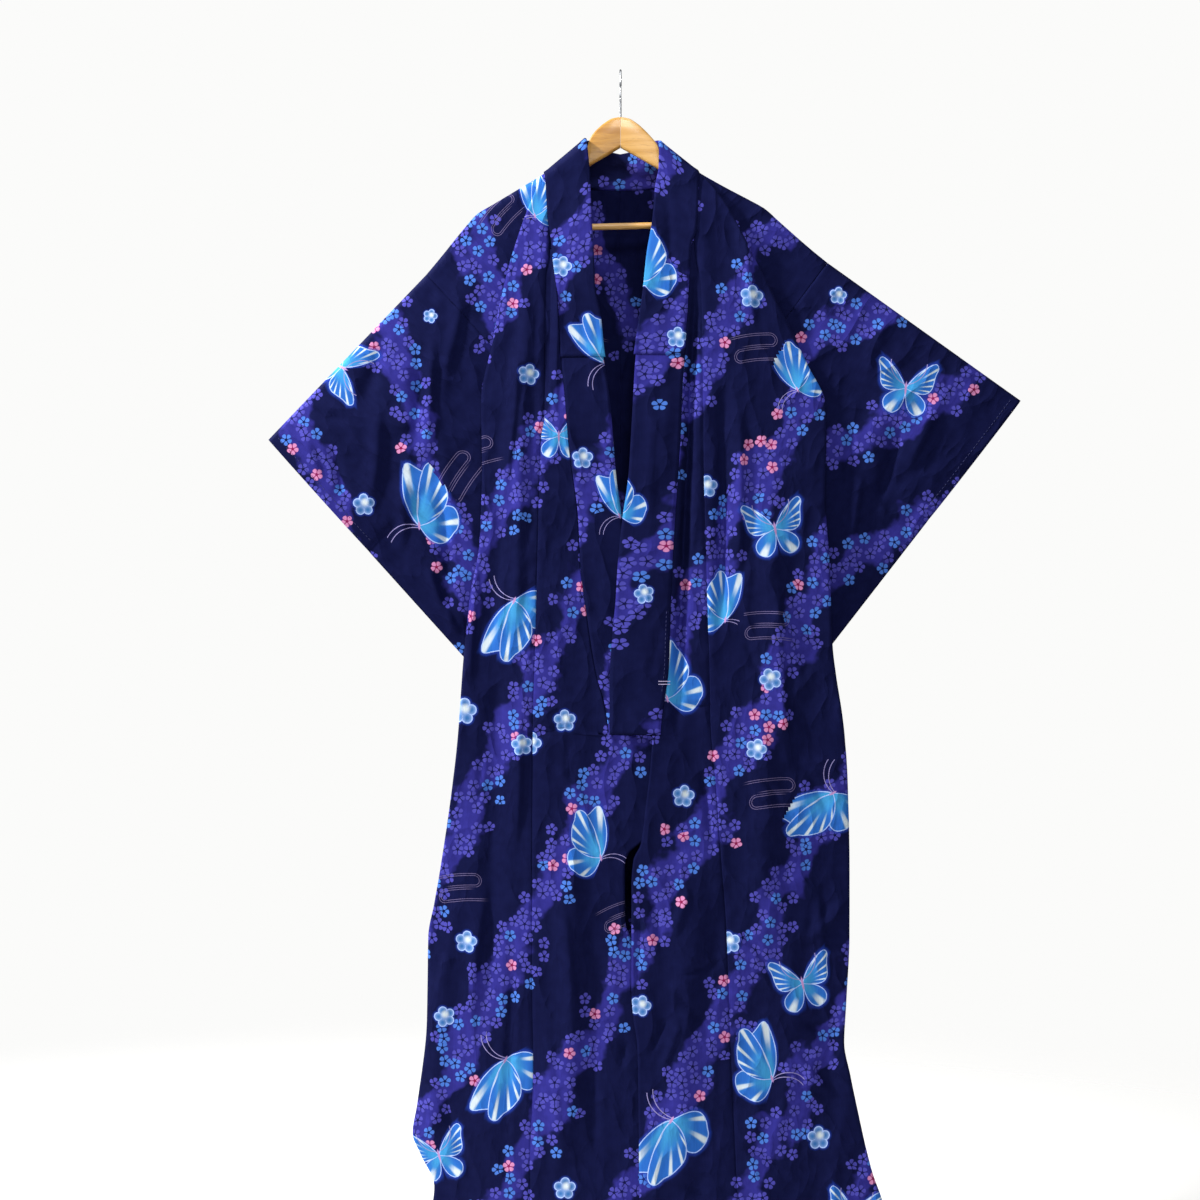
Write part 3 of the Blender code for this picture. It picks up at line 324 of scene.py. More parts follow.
def rowDrops(first, last, keep=()):  # even rows that also stop at each drop in keep
    stops = [first] + sorted(stop for stop in keep if first < stop < last) + [last]
    rows = [first]
    for start, end in zip(stops, stops[1:]):
        count = max(1, round((end - start) / cloth["rowStep"]))
        rows += list(np.linspace(start, end, count + 1)[1:])
    return np.array(rows)


def belowRidge(side, out, drop):
    return np.maximum(drop - read(side["ridge"], np.abs(out)), 0.0)


def foldRelief(side, out, drop):
    total = np.zeros(np.broadcast(out, drop).shape)
    for name, top, bottom, halfWidth, height in mainFolds:
        if name == side["name"]:
            along = (drop - top[1]) / (bottom[1] - top[1])
            centre = top[0] + (bottom[0] - top[0]) * along
            fade = ease(along / hang["mainFoldFade"]) * ease((1.0 - along) / hang["mainFoldFade"])
            total = total + height * fade * np.exp(-((out - centre) / halfWidth) ** 2)
    fromCollar = np.maximum(out - read(side["collarOuter"], drop), 0.0)
    beside = np.exp(-(fromCollar / hang["besideCollar"]) ** 2)
    beside = beside * (1.0 - ease((drop - cloth["collarEnd"]) / hang["besideFade"]))
    return total * (1.0 - beside)


def layerStep(drop):
    grown = ease((drop - hang["pleatTop"]) / hang["pleatGrowth"])
    return hang["topStep"] + (hang["step"] - hang["topStep"]) * grown


def layerRelief(layer, x, drop):  # creases and crumples of one layer
    return creaseDepth(layer, x, drop) + crumple(x, drop, *crumpling["layers"][layer])


def clothDepth(side, out, drop, level, front, creased=1.0):  # level 2 is the outer layer, 0 carries the sleeve
    ridge = belowRidge(side, out, drop)
    depth = hang["ridgeRound"] * np.sqrt(np.minimum(ridge / hang["ridgeRound"], 1.0))
    depth = depth + hang["depth"] * (1.0 - np.exp(-ridge / hang["length"]))
    edge = read(side["fold"], drop)
    closing = hang["closing"] * ease((drop - hang["closingTop"]) / hang["closingLength"])
    depth = depth * (1.0 - closing * np.minimum(np.abs(out / edge), 1.0) ** 3)
    depth = depth + level * layerStep(drop) * np.minimum(ridge / hang["layerRound"], 1.0)
    outer = np.clip(level - 1.0, 0.0, 1.0)
    swell = hang["swell"] * np.clip(1.0 - (out / edge) ** 2, 0.0, 1.0)
    calm = ease(ridge / hang["calm"])
    x = side["sign"] * out
    if front:
        swell = swell * ease((drop - hang["pleatTop"]) / hang["swellLength"])
        depth = depth + outer * (swell + foldRelief(side, out, drop))
        lapped = ease((drop - hang["lapTop"]) / hang["lapLength"])
        lapped = lapped * (1.0 - ease((np.abs(out) - hang["lapHalfWidth"]) / hang["lapFade"]))
        depth = depth + outer * side["overlap"] * lapped
    else:
        depth = depth + outer * swell
    relief = layerRelief("front" if front else "back", x, drop) * creased
    room = hang["troughRoom"] + hang["freeRoom"] * ease((read(side["tuck"], drop) - out) / hang["tuckFade"])
    relief = np.where(relief < 0.0, room * (np.exp(np.minimum(relief, 0.0) / room) - 1.0), relief)
    beneath = layerRelief("sleeves" if front else "sleeveBacks", x, drop) * creased
    beneath = np.minimum(beneath, hang["ridgeRoom"] + hang["freeRoom"] * ease((out - edge) / hang["foldFade"]))
    return depth + calm * (outer * relief + (1.0 - outer) * beneath)


def seamDip(away):  # a seam lies a little lower than the cloth beside it
    return cloth["seamGroove"] * np.exp(-(away / cloth["seamHalfWidth"]) ** 2)


def neckline(side, out):
    fall = cloth["neckSeamDrop"] - side["top"]
    return cloth["neckSeamDrop"] - fall * np.minimum(np.abs(out) / side["neckHalf"], 1.0) ** 2


def place(side, out, drop, depth, front):
    out, drop, depth = np.broadcast_arrays(out, drop, depth)
    return np.stack((side["sign"] * out, -depth if front else depth, -drop), axis=-1)


def flatten(points, front, turn=0.0, pivot=(0.0, 0.0)):  # turns a layer's points back to the flat cloth
    x, z = points[..., 0] - pivot[0], points[..., 2] - pivot[1]
    angle = math.radians(-turn)
    across = x * math.cos(angle) - z * math.sin(angle)
    up = x * math.sin(angle) + z * math.cos(angle)
    if not front:                                   # the cloth runs on over the shoulder and down the back
        up = -up
    return np.stack((across + pivot[0], up + pivot[1]), axis=-1)


def apexOf(side):  # the side pleat's top end, about which the sleeve's layer is turned
    return side["sign"] * side["fold"][0][1], -side["fold"][0][0]


bodyColumns = {                # how many there are in each part of a row
    "front": 56,
    "back": 46,
    "turn": 5,
    "return": 7,
    "edge": 10,
    "crowding": 1.8,           # draws the last ones together at the edge
}
seamColumns = (0.0, 0.0025, 0.005, 0.008)   # metres from a seam, close together where the cloth dips
bodyFades = {"underCollar": 0.02, "neckline": 0.06, "seamDip": 0.05}


def outerEdge(side, drop):  # the ridge, then the sleeve seam, then the side seam
    shoulder, underarm = side["shoulder"], side["underarm"]
    if drop <= shoulder[1]:
        return float(read([(row[1], row[0]) for row in side["ridge"]], drop))
    along = min((drop - shoulder[1]) / (underarm[1] - shoulder[1]), 1.0)
    return shoulder[0] + (underarm[0] - shoulder[0]) * along


def bodyRow(side, drop, front):  # one level row, from the inner edge to the side, with the pleat at the side
    start = 0.0
    if front:                                       # beside the neck the panel's edge lies under the collar
        under = cloth["underCollar"] * (1.0 - float(ease((drop - side["okumiTop"]) / bodyFades["underCollar"] + 1.0)))
        start = float(read(side["seam"], drop)) - under
    fold, tuck = float(read(side["fold"], drop)), float(read(side["tuck"], drop))
    edge = outerEdge(side, drop)
    radius = 0.5 * float(layerStep(drop))
    steps = bodyColumns["turn"]
    panel = np.linspace(start + seamColumns[-1], fold - radius, bodyColumns["front" if front else "back"] - 2)
    panel = np.concatenate((start + np.array(seamColumns[:-1]), panel))
    turn = np.linspace(-0.5 * math.pi, 0.5 * math.pi, steps + 1)[1:]
    backToTuck = np.linspace(fold - radius, tuck + radius, bodyColumns["return"] + 1)[1:]
    shares = 1.0 - (1.0 - np.linspace(0.0, 1.0, bodyColumns["edge"] + 1)[1:]) ** bodyColumns["crowding"]
    toEdge = tuck + radius + (edge - tuck - radius) * shares
    out = np.concatenate((panel, fold - radius + radius * np.cos(turn), backToTuck,
                          tuck + radius - radius * np.cos(turn), toEdge))
    level = np.concatenate((np.full(len(panel), 2.0), 1.5 - 0.5 * np.sin(turn), np.ones(len(backToTuck)),
                            0.5 - 0.5 * np.sin(turn), np.zeros(len(toEdge))))
    drops = np.full(len(out), drop)
    rest = len(out) - len(panel)
    smoothOut = np.linspace(fold - radius, edge, rest + 1)[1:]
    pleat = float(ease((drop - side["top"]) / hang["pleatStart"]))
    out[-rest:] = smoothOut + (out[-rest:] - smoothOut) * pleat
    level[-rest:] = np.linspace(2.0, 0.0, rest + 1)[1:] * (1.0 - pleat) + level[-rest:] * pleat
    if not front:
        raised = (neckline(side, out) - side["top"]) * max(0.0, 1.0 - (drop - side["top"]) / bodyFades["neckline"])
        drops = drops + np.where(out < side["neckHalf"], raised, 0.0)
    depth = clothDepth(side, out, drops, level, front)
    depth = depth - seamDip(out - start) * float(ease((drop - side["top"]) / bodyFades["seamDip"]))
    depth = depth - 0.5 * seamDip(hemSeam - drop)
    if drop < side["shoulder"][1] + 1e-6:
        depth[-1] = 0.0
    closing = float(ease((drop - side["underarm"][1]) / (cloth["slitEnd"] - side["underarm"][1])))
    if closing > 0.0:
        inner = steps + bodyColumns["edge"]
        angle = np.linspace(0.0, 0.5 * math.pi, inner + 1)[1:]
        startOut = tuck + hang["sideTurn"]
        startDepth = clothDepth(side, startOut, drop, 1.0, front)
        roundOut = startOut - hang["sideTurn"] * np.sin(angle)
        roundDepth = startDepth * np.cos(angle)
        roundDepth[-1] = 0.0
        out[-inner:] += (roundOut - out[-inner:]) * closing
        depth[-inner:] += (roundDepth - depth[-inner:]) * closing
    points = place(side, out, drops, depth, front)
    plain = flatten(points, front)
    turning = np.hypot(np.diff(out), np.diff(depth)) - np.abs(np.diff(out))    # cloth taken up by turns in depth
    unrolled = place(side, out + np.concatenate(([0.0], np.cumsum(turning))), drops, depth, front)
    turned = flatten(unrolled, front, side["grainTurn"], apexOf(side))
    hidden = ease(1.0 - level)[:, None]
    grain = flatten(unrolled, front)
    return points, plain, grain + (turned - grain) * hidden


def bodyGrid(side, front):
    rows = rowDrops(side["top"], cloth["hemDrop"], (side["shoulder"][1], side["underarm"][1], cloth["slitEnd"],
                                                    hemSeam))
    made = [bodyRow(side, drop, front) for drop in rows]
    first = made[0][0]                              # front and back meet on the ridge beside the neck
    capped = np.abs(first[:, 0]) >= side["neckHalf"] - cloth["capStart"]
    first[capped, 1] = 0.0
    first[capped, 2] = -read(side["ridge"], np.abs(first[capped, 0]))
    return tuple(np.array([row[index] for row in made]) for index in range(3))


okumiSheet = {
    "seamShares": (0.0, 0.025, 0.05),  # columns close together where the cloth dips at the seam
    "shares": (0.08, 1.0, 32),         # and even ones from there to the edge
    "endRows": (0.0008, 0.0022),       # rows just past the collar's end, where the edge steps out from under it
    "underBand": 0.001,
}


def okumiGrid(side):  # the overlap panel between the body's seam and the collar, then the front edge
    end = cloth["collarEnd"]
    rows = rowDrops(side["okumiTop"], cloth["hemDrop"], (*(end + step for step in okumiSheet["endRows"]), hemSeam))
    fractions = np.concatenate((okumiSheet["seamShares"], np.linspace(*okumiSheet["shares"])))
    points = []
    for drop in rows:
        seam = float(read(side["seam"], drop))
        if drop < end + okumiSheet["underBand"]:
            edge = float(read(side["collarOuter"], min(drop, end))) + cloth["collarGap"]
        else:
            edge = float(read(side["frontEdge"], drop))
        out = seam + (edge - seam) * fractions
        depth = clothDepth(side, out, drop, 2.0, True) - seamDip(out - seam)
        depth = depth - 0.5 * seamDip(hemSeam - drop)
        points.append(place(side, out, drop, depth, True))
    points = np.array(points)
    return points, flatten(points, True), flatten(points, True)


sleeveSheet = {"columns": 80, "calmTop": 0.05, "calmSide": 0.03, "least": 0.0006}      # metres from each edge


def sleeveGrid(side, front):  # one layer of the sleeve bag, from the armhole edge to the cuff edge
    shoulder, cuff, underarm, corner, inner = (np.array(side[key]) for key in (
        "shoulder", "cuff", "underarm", "sleeveCorner", "sleeveInner"))
    outward = (cuff - shoulder) / np.linalg.norm(cuff - shoulder)
    armhole, bottom = cloth["armhole"], cloth["sleeveDrop"]
    along = np.linspace(0.0, 1.0, sleeveSheet["columns"])
    points = []
    for distance in rowDrops(0.0, bottom, (armhole,)):
        if distance <= armhole:
            seam = shoulder + (underarm - shoulder) * distance / armhole
            half = float(clothDepth(side, seam[0], seam[1], 0.0, front, 0.0)) if distance > 0.0 else 0.0
            cuffHalf = 0.0
            if 0.0 < distance < armhole:
                cuffHalf = hang["cuffHalfDepth"] * math.sqrt(math.sin(math.pi * distance / armhole))
        else:
            share = (distance - armhole) / (bottom - armhole)
            seam = underarm + (inner - underarm) * share
            half = hang["underarmHalfDepth"] * math.sqrt(max(0.0, 1.0 - share ** 2))
            cuffHalf = 0.0
        start = seam + outward * cloth["sleeveGap"]
        end = cuff + (corner - cuff) * distance / bottom
        spot = start + (end - start) * along[:, None]
        billow = hang["billow"] * np.sin(math.pi * along) * math.sin(math.pi * distance / bottom)
        depth = half + (cuffHalf - half) * along + billow
        width = np.linalg.norm(end - start)
        calm = ease(distance / sleeveSheet["calmTop"]) * ease((bottom - distance) / sleeveSheet["calmSide"])
        calm = calm * ease((1.0 - along) * width / sleeveSheet["calmSide"])
        layer = "sleeves" if front else "sleeveBacks"
        depth = depth + calm * layerRelief(layer, side["sign"] * spot[:, 0], spot[:, 1])
        depth = np.maximum(depth, 0.0 if cuffHalf > 0.0 else sleeveSheet["least"])
        if distance in (0.0, bottom):
            depth[:] = 0.0
        if cuffHalf == 0.0:
            depth[-1] = 0.0
        points.append(place(side, spot[:, 0], spot[:, 1], depth, front))
    points = np.array(points)
    return points, flatten(points, front), flatten(points, front, side["grainTurn"], apexOf(side))


collarCloth = {
    "columns": 14,
    "thickness": 0.0026,
    "creased": 0.45,
    "bulge": 0.0022,           # how full the band is behind the neck
    "grainWidth": 0.055,
    "coverThickness": 0.0009,
    "away": 0.0024,            # the cover collar's distance from the middle of the band
    "rimGap": 0.0006,
    "rimTurn": (0.15, 0.85, 6),  # half turns round the inner edge, and the rows there
}
shoulderShares = (0.04, 0.14, 0.32, 0.55, 0.80)     # stations of the collar near the ridge


def between(values, step):  # a value between the numbered ones
    return float(read(list(enumerate(values)), step))


def collarLine(side, drop, fractions):  # one line across the front of the band, from outer to inner edge
    innerDrop = drop - float(read(collarRise, drop))
    outerOut = float(read(side["collarOuter"], drop))
    innerOut = float(read(side["collarInner"], innerDrop))
    out = outerOut + (innerOut - outerOut) * fractions
    drops = drop + (innerDrop - drop) * fractions
    depth = clothDepth(side, out, drops, 2.0, True, collarCloth["creased"])
    return place(side, out, drops, depth, True), out, drops


def collarHalf(side, fractions):  # stations from the front end up, over the shoulder and to the centre back
    rows = rowDrops(side["top"], cloth["collarEnd"])[::-1]
    stations = [collarLine(side, drop, fractions)[0] for drop in rows]
    topOut, topDrop = collarLine(side, rows[-1], fractions)[1:]
    ridge = np.array(side["ridge"])
    near = float(np.interp(side["top"] - cloth["neckTuck"], ridge[:, 1], ridge[:, 0]))
    ridgeOut = near + (ridge[0, 0] - near) * fractions
    ridgeDrop = read(ridge, ridgeOut)
    for share in shoulderShares[::-1]:
        out = ridgeOut + (topOut - ridgeOut) * share
        drop = ridgeDrop + (topDrop - ridgeDrop) * share
        stations.append(place(side, out, drop, clothDepth(side, out, drop, 2.0, True, 0.0), True))
    stations.append(place(side, ridgeOut, ridgeDrop, 0.0, True))
    seamOuts = [near] + [share * side["neckHalf"] for share in collarBackSeam]
    seamDrops = [side["top"] - cloth["neckTuck"]]
    seamDrops += [float(neckline(side, out)) - cloth["neckSeamRise"] for out in seamOuts[1:]]
    grown = ridge[0, 0] / collarBackTop[0][0]
    topOuts = [ridge[0, 0]] + [row[0] * grown for row in collarBackTop]
    topDrops = [ridge[0, 1]] + [row[1] for row in collarBackTop]
    topDepths = [0.0] + [row[2] for row in collarBackTop]
    for step in shoulderShares + tuple(np.arange(1.0, 6.01, 0.25)):
        seamOut, seamDrop = between(seamOuts, step), between(seamDrops, step)
        seamDepth = float(clothDepth(side, seamOut, seamDrop, 2.0, False, 0.0))
        topDepth = topDepths[1] * math.sqrt(step) if step < 1.0 else between(topDepths, step)
        seam = place(side, seamOut, seamDrop, seamDepth, False)
        top = place(side, between(topOuts, step), between(topDrops, step), topDepth, False)
        bulge = collarCloth["bulge"] * np.sin(math.pi * fractions)[:, None] * np.array((0.0, min(step, 1.0), 0.0))
        stations.append(seam + (top - seam) * fractions[:, None] + bulge)
    return stations


def collarGrid():
    fractions = np.linspace(0.0, 1.0, collarCloth["columns"] + 1)
    halves = [collarHalf(side, fractions) for side in (right, left)]
    points = np.array(halves[0] + halves[1][-2::-1])
    middle = points[:, len(fractions) // 2]
    run = np.concatenate(([0.0], np.cumsum(np.linalg.norm(np.diff(middle, axis=0), axis=1))))
    across = np.broadcast_to(collarCloth["grainWidth"] * fractions, points.shape[:2])
    along = np.broadcast_to(run[:, None], points.shape[:2])
    return points, flatten(points, True), np.stack((across, along), axis=-1)


def gridNormals(points):
    down = np.gradient(points, axis=0)
    across = np.gradient(points, axis=1)
    normals = np.cross(down, across)
    return normals / np.maximum(np.linalg.norm(normals, axis=-1, keepdims=True), 1e-9)


def coverGrid(band, placed, grain):  # both faces of the band moved out, joined by a turn round its inner edge
    away = collarCloth["away"]
    normals = gridNormals(band)
    inward = band[:, -1] - band[:, -2]
    inward /= np.linalg.norm(inward, axis=1, keepdims=True)
    first, last, rows = collarCloth["rimTurn"]
    turn = [band[:, -1] + normals[:, -1] * away * math.cos(angle)
            + inward * (collarCloth["rimGap"] + away * math.sin(angle))
            for angle in np.linspace(first * math.pi, last * math.pi, rows)]
    points = np.concatenate((band + normals * away, np.stack(turn, axis=1), (band - normals * away)[:, ::-1]), axis=1)
    maps = [np.concatenate((flat, np.repeat(flat[:, -1:], rows, axis=1), flat[:, ::-1]), axis=1)
            for flat in (placed, grain)]
    return points, *maps


# Motifs of the print by layer and kind: x and drop of the middle, turn in degrees, scale (a negative one mirrors
# the motif). Butterflies are drawn with their wings open or folded, and a stream is a long bend of water.
motifs = {
    "bodyLeftFront": {
        "open": ((0.233, 0.7, 10, 1), (0.276, 1.392, 12, 1), (0.16, 0.13, 10, 0.8), (0.355, 1.745, -10, 0.9)),
        "folded": (
            (0.268, 0.461, 25, 0.8), (0.299, 1.137, 118, -1), (0.15, 0.812, -8, -0.8), (0.205, 1.512, 18, -0.95)),
        "plum": (
            (0.199, 0.351, 10, 1.05), (0.227, 0.932, 40, 1), (0.205, 1.038, 0, 0.95), (0.302, 1.632, 20, 1.05),
            (0.13, 0.64, 15, 1), (0.165, 1.332, 30, 1)),
        "stream": ((0.205, 0.428, 6, 0.9), (0.23, 1.104, 4, 0.95), (0.222, 0.85, 0, 0.9)),
    },
    "bodyRightFront": {
        "open": ((-0.278, 1.655, 15, 0.95),),
        "folded": ((-0.16, 0.852, 158, -1), (-0.176, 1.55, 155, -1), (-0.124, 0.2, 10, 0.7)),
        "plum": (
            (-0.239, 0.981, 10, 1.2), (-0.235, 1.332, 10, 1), (-0.268, 1.446, 35, 0.95), (-0.14, 0.47, 5, 0.95),
            (-0.15, 1.032, 25, 0.95)),
        "stream": ((-0.224, 0.589, 20, 0.9), (-0.245, 1.25, 6, 0.9), (-0.182, 0.22, 48, 0.85)),
    },
    "okumiLeft": {
        "folded": ((0.072, 1.64, 150, -1.1), (0.078, 0.925, 12, 0.95)),
        "plum": ((0.095, 1.109, 10, 1), (0.03, 1.425, 0, 0.95)),
    },
    "okumiRight": {
        "open": ((-0.094, 0.56, 0, 0.8),),
        "folded": ((-0.05, 1.176, 12, -0.85),),
        "plum": ((-0.085, 0.995, 20, 1), (-0.137, 1.029, 0, 1), (-0.085, 1.704, 15, 1)),
        "stream": ((0, 1.29, 20, 0.8),),
    },
    "collar": {
        "folded": ((0.044, 0.297, 6, 0.9), (-0.03, 0.42, 35, 0.85), (0, 0.655, 20, 0.75)),
        "plum": (
            (0.085, 0.414, 10, 0.95), (0.035, 0.803, 30, 0.9), (-0.09, 0.306, 0, 0.95), (-0.058, 0.597, 15, 0.95)),
    },
    "sleeveRight": {
        "open": ((-0.424, 0.457, -118, 1),),
        "folded": ((-0.293, 0.66, 2, 1.05),),
        "plum": ((-0.393, 0.666, 20, 1), (-0.291, 0.378, 0, 0.65)),
        "stream": ((-0.248, 0.622, 56, 1),),
    },
    "sleeveLeft": {
        "open": ((0.437, 0.484, -8, 1),),
        "plum": ((0.333, 0.346, 10, 0.8),),
    },
    "back": {
        "open": (
            (-0.18, 0.52, 15, 1), (-0.06, 1.21, -15, 1), (0.11, 0.46, -10, 1), (0.13, 1.15, 12, 1),
            (0.34, 1.65, -10, 0.95), (-0.4, 0.52, 45, 1), (0.44, 0.5, -35, 1)),
        "folded": ((-0.08, 0.76, 150, 1), (-0.12, 1.52, 20, -1), (0.2, 0.72, 20, 0.95), (0.23, 1.53, 150, 1)),
        "plum": (
            (-0.13, 0.93, 0, 1), (-0.22, 1.42, 25, 1), (-0.03, 1.64, 10, 0.95), (0.05, 0.64, 30, 1),
            (0.24, 0.96, 0, 1), (0.06, 1.38, 20, 1), (-0.33, 0.64, 10, 1), (0.37, 0.64, 0, 1)),
        "stream": (
            (-0.06, 0.42, 5, 0.9), (-0.19, 1.11, 4, 0.9), (0.09, 0.85, 8, 0.9), (0.28, 1.27, 0, 0.9),
            (-0.28, 0.47, 50, 0.85), (0.33, 0.42, -60, 0.85)),
    },
}
motifReach = {"open": 0.068, "folded": 0.076, "plum": 0.024, "stream": 0.066}     # metres from the middle
motifMargin = 0.008            # faces this far past it carry the motif too


def motifFrame(placed, layer, front):  # each corner's place in its nearest motif's own frame, and the kind near it
    rows = np.array([(kind, *row) for kind, name in enumerate(motifReach) for row in layer.get(name, ())])
    middle = placed.mean(axis=1)
    centres = rows[:, 1:3] * (1.0, -1.0 if front else 1.0)
    kinds, scales = rows[:, 0].astype(int), rows[:, 4]
    sizes = np.abs(scales)
    reach = np.array(list(motifReach.values()))[kinds] * sizes
    apart = np.linalg.norm(middle[:, None] - centres[None], axis=2) / reach
    nearest = apart.argmin(axis=1)
    angle = np.radians(rows[:, 3])[nearest][:, None]
    offset = placed - centres[nearest][:, None]
    if not front:
        offset = -offset
    across = (offset[..., 0] * np.cos(angle) + offset[..., 1] * np.sin(angle)) / scales[nearest][:, None]
    up = (offset[..., 1] * np.cos(angle) - offset[..., 0] * np.sin(angle)) / sizes[nearest][:, None]
    near = apart[np.arange(len(nearest)), nearest] < 1.0 + motifMargin / reach[nearest]
    return np.stack((across, up), axis=-1), np.where(near, kinds[nearest] + 1, 0)


def newObject(name, data):
    made = bpy.data.objects.new(name, data)
    bpy.context.scene.collection.objects.link(made)
    return made


def makeSheet(name, grids, thickness, finishes):  # an open surface welded from grids, with a thin wall
    corners, faces, uvs, kinds = [], [], {"grain": [], "motif": []}, []
    count = 0
    for points, placed, grain, rows, front in grids:
        high, wide = points.shape[:2]
        index = np.arange(high * wide).reshape(high, wide)
        quads = np.stack((index[:-1, :-1], index[:-1, 1:], index[1:, 1:], index[1:, :-1]), axis=-1).reshape(-1, 4)
        corners.append(points.reshape(-1, 3))
        faces.append(quads + count)
        uvs["grain"].append(grain.reshape(-1, 2)[quads])
        frameUvs, kind = motifFrame(placed.reshape(-1, 2)[quads], motifs[rows], front)
        uvs["motif"].append(frameUvs)
        kinds.append(kind)
        count += high * wide
    mesh = bpy.data.meshes.new(name)
    mesh.from_pydata(np.concatenate(corners).tolist(), [], np.concatenate(faces).tolist())
    for label, values in uvs.items():
        mesh.uv_layers.new(name=label).data.foreach_set("uv", np.concatenate(values).ravel())
    for finish in finishes:
        mesh.materials.append(finish)
    mesh.polygons.foreach_set("material_index", np.concatenate(kinds).astype(np.int32))
    form = bmesh.new()
    form.from_mesh(mesh)
    bmesh.ops.remove_doubles(form, verts=form.verts, dist=cloth["weld"])
    bmesh.ops.recalc_face_normals(form, faces=form.faces)
    form.to_mesh(mesh)
    form.free()
    mesh.shade_smooth()
    piece = newObject(name, mesh)
    wall = piece.modifiers.new("wall", "SOLIDIFY")
    wall.thickness = thickness
    wall.offset = 0.0
    return piece


def linear(code):  # an sRGB hex value as a linear colour
    values = [int(code[index:index + 2], 16) / 255.0 for index in (1, 3, 5)]
    return tuple(v / 12.92 if v <= 0.04045 else ((v + 0.055) / 1.055) ** 2.4 for v in values) + (1.0,)


def add(tree, kind, settings=None, *sources, **named):  # a node with settings (or just its operation) and links
    node = tree.nodes.new(kind)
    if isinstance(settings, str):
        settings = {"operation": settings}
    for key, value in (settings or {}).items():
        setattr(node, key, value)
    for spot, source in list(enumerate(sources)) + list(named.items()):
        if source is None:
            continue
        socket = node.inputs[spot]
        if isinstance(source, bpy.types.Node):
            source = next(found for found in source.outputs if found.enabled)
        if isinstance(source, bpy.types.NodeSocket):
            tree.links.new(source, socket)
        else:
            socket.default_value = source
    return node


def newGroup(name, inputs, outputs, kind="ShaderNodeTree"):  # a node group with its sockets by name and kind
    group = bpy.data.node_groups.new(name, kind)
    for way, sockets in (("INPUT", inputs), ("OUTPUT", outputs)):
        for label, carried in sockets.items():
            group.interface.new_socket(label, in_out=way, socket_type="NodeSocket" + carried)
    return group, group.nodes.new("NodeGroupInput").outputs, group.nodes.new("NodeGroupOutput").inputs


mathNode, vectorNode, mixNode, rangeNode, noiseNode, groupNode, bumpNode = (
    "ShaderNodeMath", "ShaderNodeVectorMath", "ShaderNodeMixRGB", "ShaderNodeMapRange", "ShaderNodeTexNoise",
    "ShaderNodeGroup", "ShaderNodeBump")
splitNode, joinNode, uvNode, placeNode = (
    "ShaderNodeSeparateXYZ", "ShaderNodeCombineXYZ", "ShaderNodeUVMap", "ShaderNodeMapping")
smooth, planar = {"interpolation_type": "SMOOTHSTEP"}, {"noise_dimensions": "2D"}


def newFinish(name, values):  # a material, with its node tree and its shader set to the values
    finish = bpy.data.materials.new(name)
    finish.use_nodes = True
    shader = finish.node_tree.nodes["Principled BSDF"]
    for label, value in values.items():
        shader.inputs[label].default_value = value
    return finish, finish.node_tree, shader


def endGroup(group, result, **drawn):  # links the group's last nodes to its outputs
    for label, node in drawn.items():
        group.links.new(node.outputs[0], result[label])
    return group


def polar(group, place):  # a point's distance from the middle, and its bearing
    parts = add(group, splitNode, None, place)
    bearing = add(group, mathNode, "ARCTAN2", parts.outputs["Y"], parts.outputs["X"])
    return add(group, vectorNode, "LENGTH", place).outputs["Value"], bearing


def petalPlace(group, out, bearing):  # the place along and beside the nearest of five petals
    petal = add(group, mathNode, "PINGPONG", bearing, math.pi / 5.0)
    return [add(group, mathNode, "MULTIPLY", out, add(group, mathNode, wave, petal)) for wave in ("COSINE", "SINE")]


printColours = {
    "navy": "#131740",
    "deepNavy": "#0e1136",
    "mist": "#2a2876",
    "mistLight": "#35338e",
    "violet": "#4b49a8",
    "sky": "#4a76cf",
    "pink": "#cf86b4",
    "pinkHeart": "#8c1848",
    "outline": "#a4bdf0",
    "glow": "#233fa6",
    "wingRoot": "#3f94cc",
    "wing": "#2d68c0",
    "cream": "#dce6e8",
    "plum": "#3a70b0",
    "body": "#b78cc0",
    "feeler": "#9088bc",
    "stream": "#71668f",
}
inks = {name: linear(code) for name, code in printColours.items()}
mistPrint = {                  # metres, shares of a band, and chances
    "bandRise": 0.345,         # up the cloth from one mist band to the next
    "bandRun": 0.185,          # across it
    "driftScale": 14.0,
    "drift": 0.46,             # how far a band wanders
    "frayScale": 70.0,
    "fray": 0.12,
    "mistEdge": (0.155, 0.235),
    "blossomEdge": 0.265,
    "blossomCell": 0.0215,
    "scatter": 0.62,
    "petalOut": 0.0056,
    "petalHalfLength": 0.0036,
    "petalFoot": 0.00115,      # a petal's half width at the middle of the blossom, and how it widens
    "petalFlare": 0.34,
    "petalRim": (0.86, 1.10),
    "heart": (0.0050, 0.0088),  # the gaps between petals
    "heartStrength": 0.85,
    "skyAbove": 0.80,
    "pinkBelow": 0.045,
}


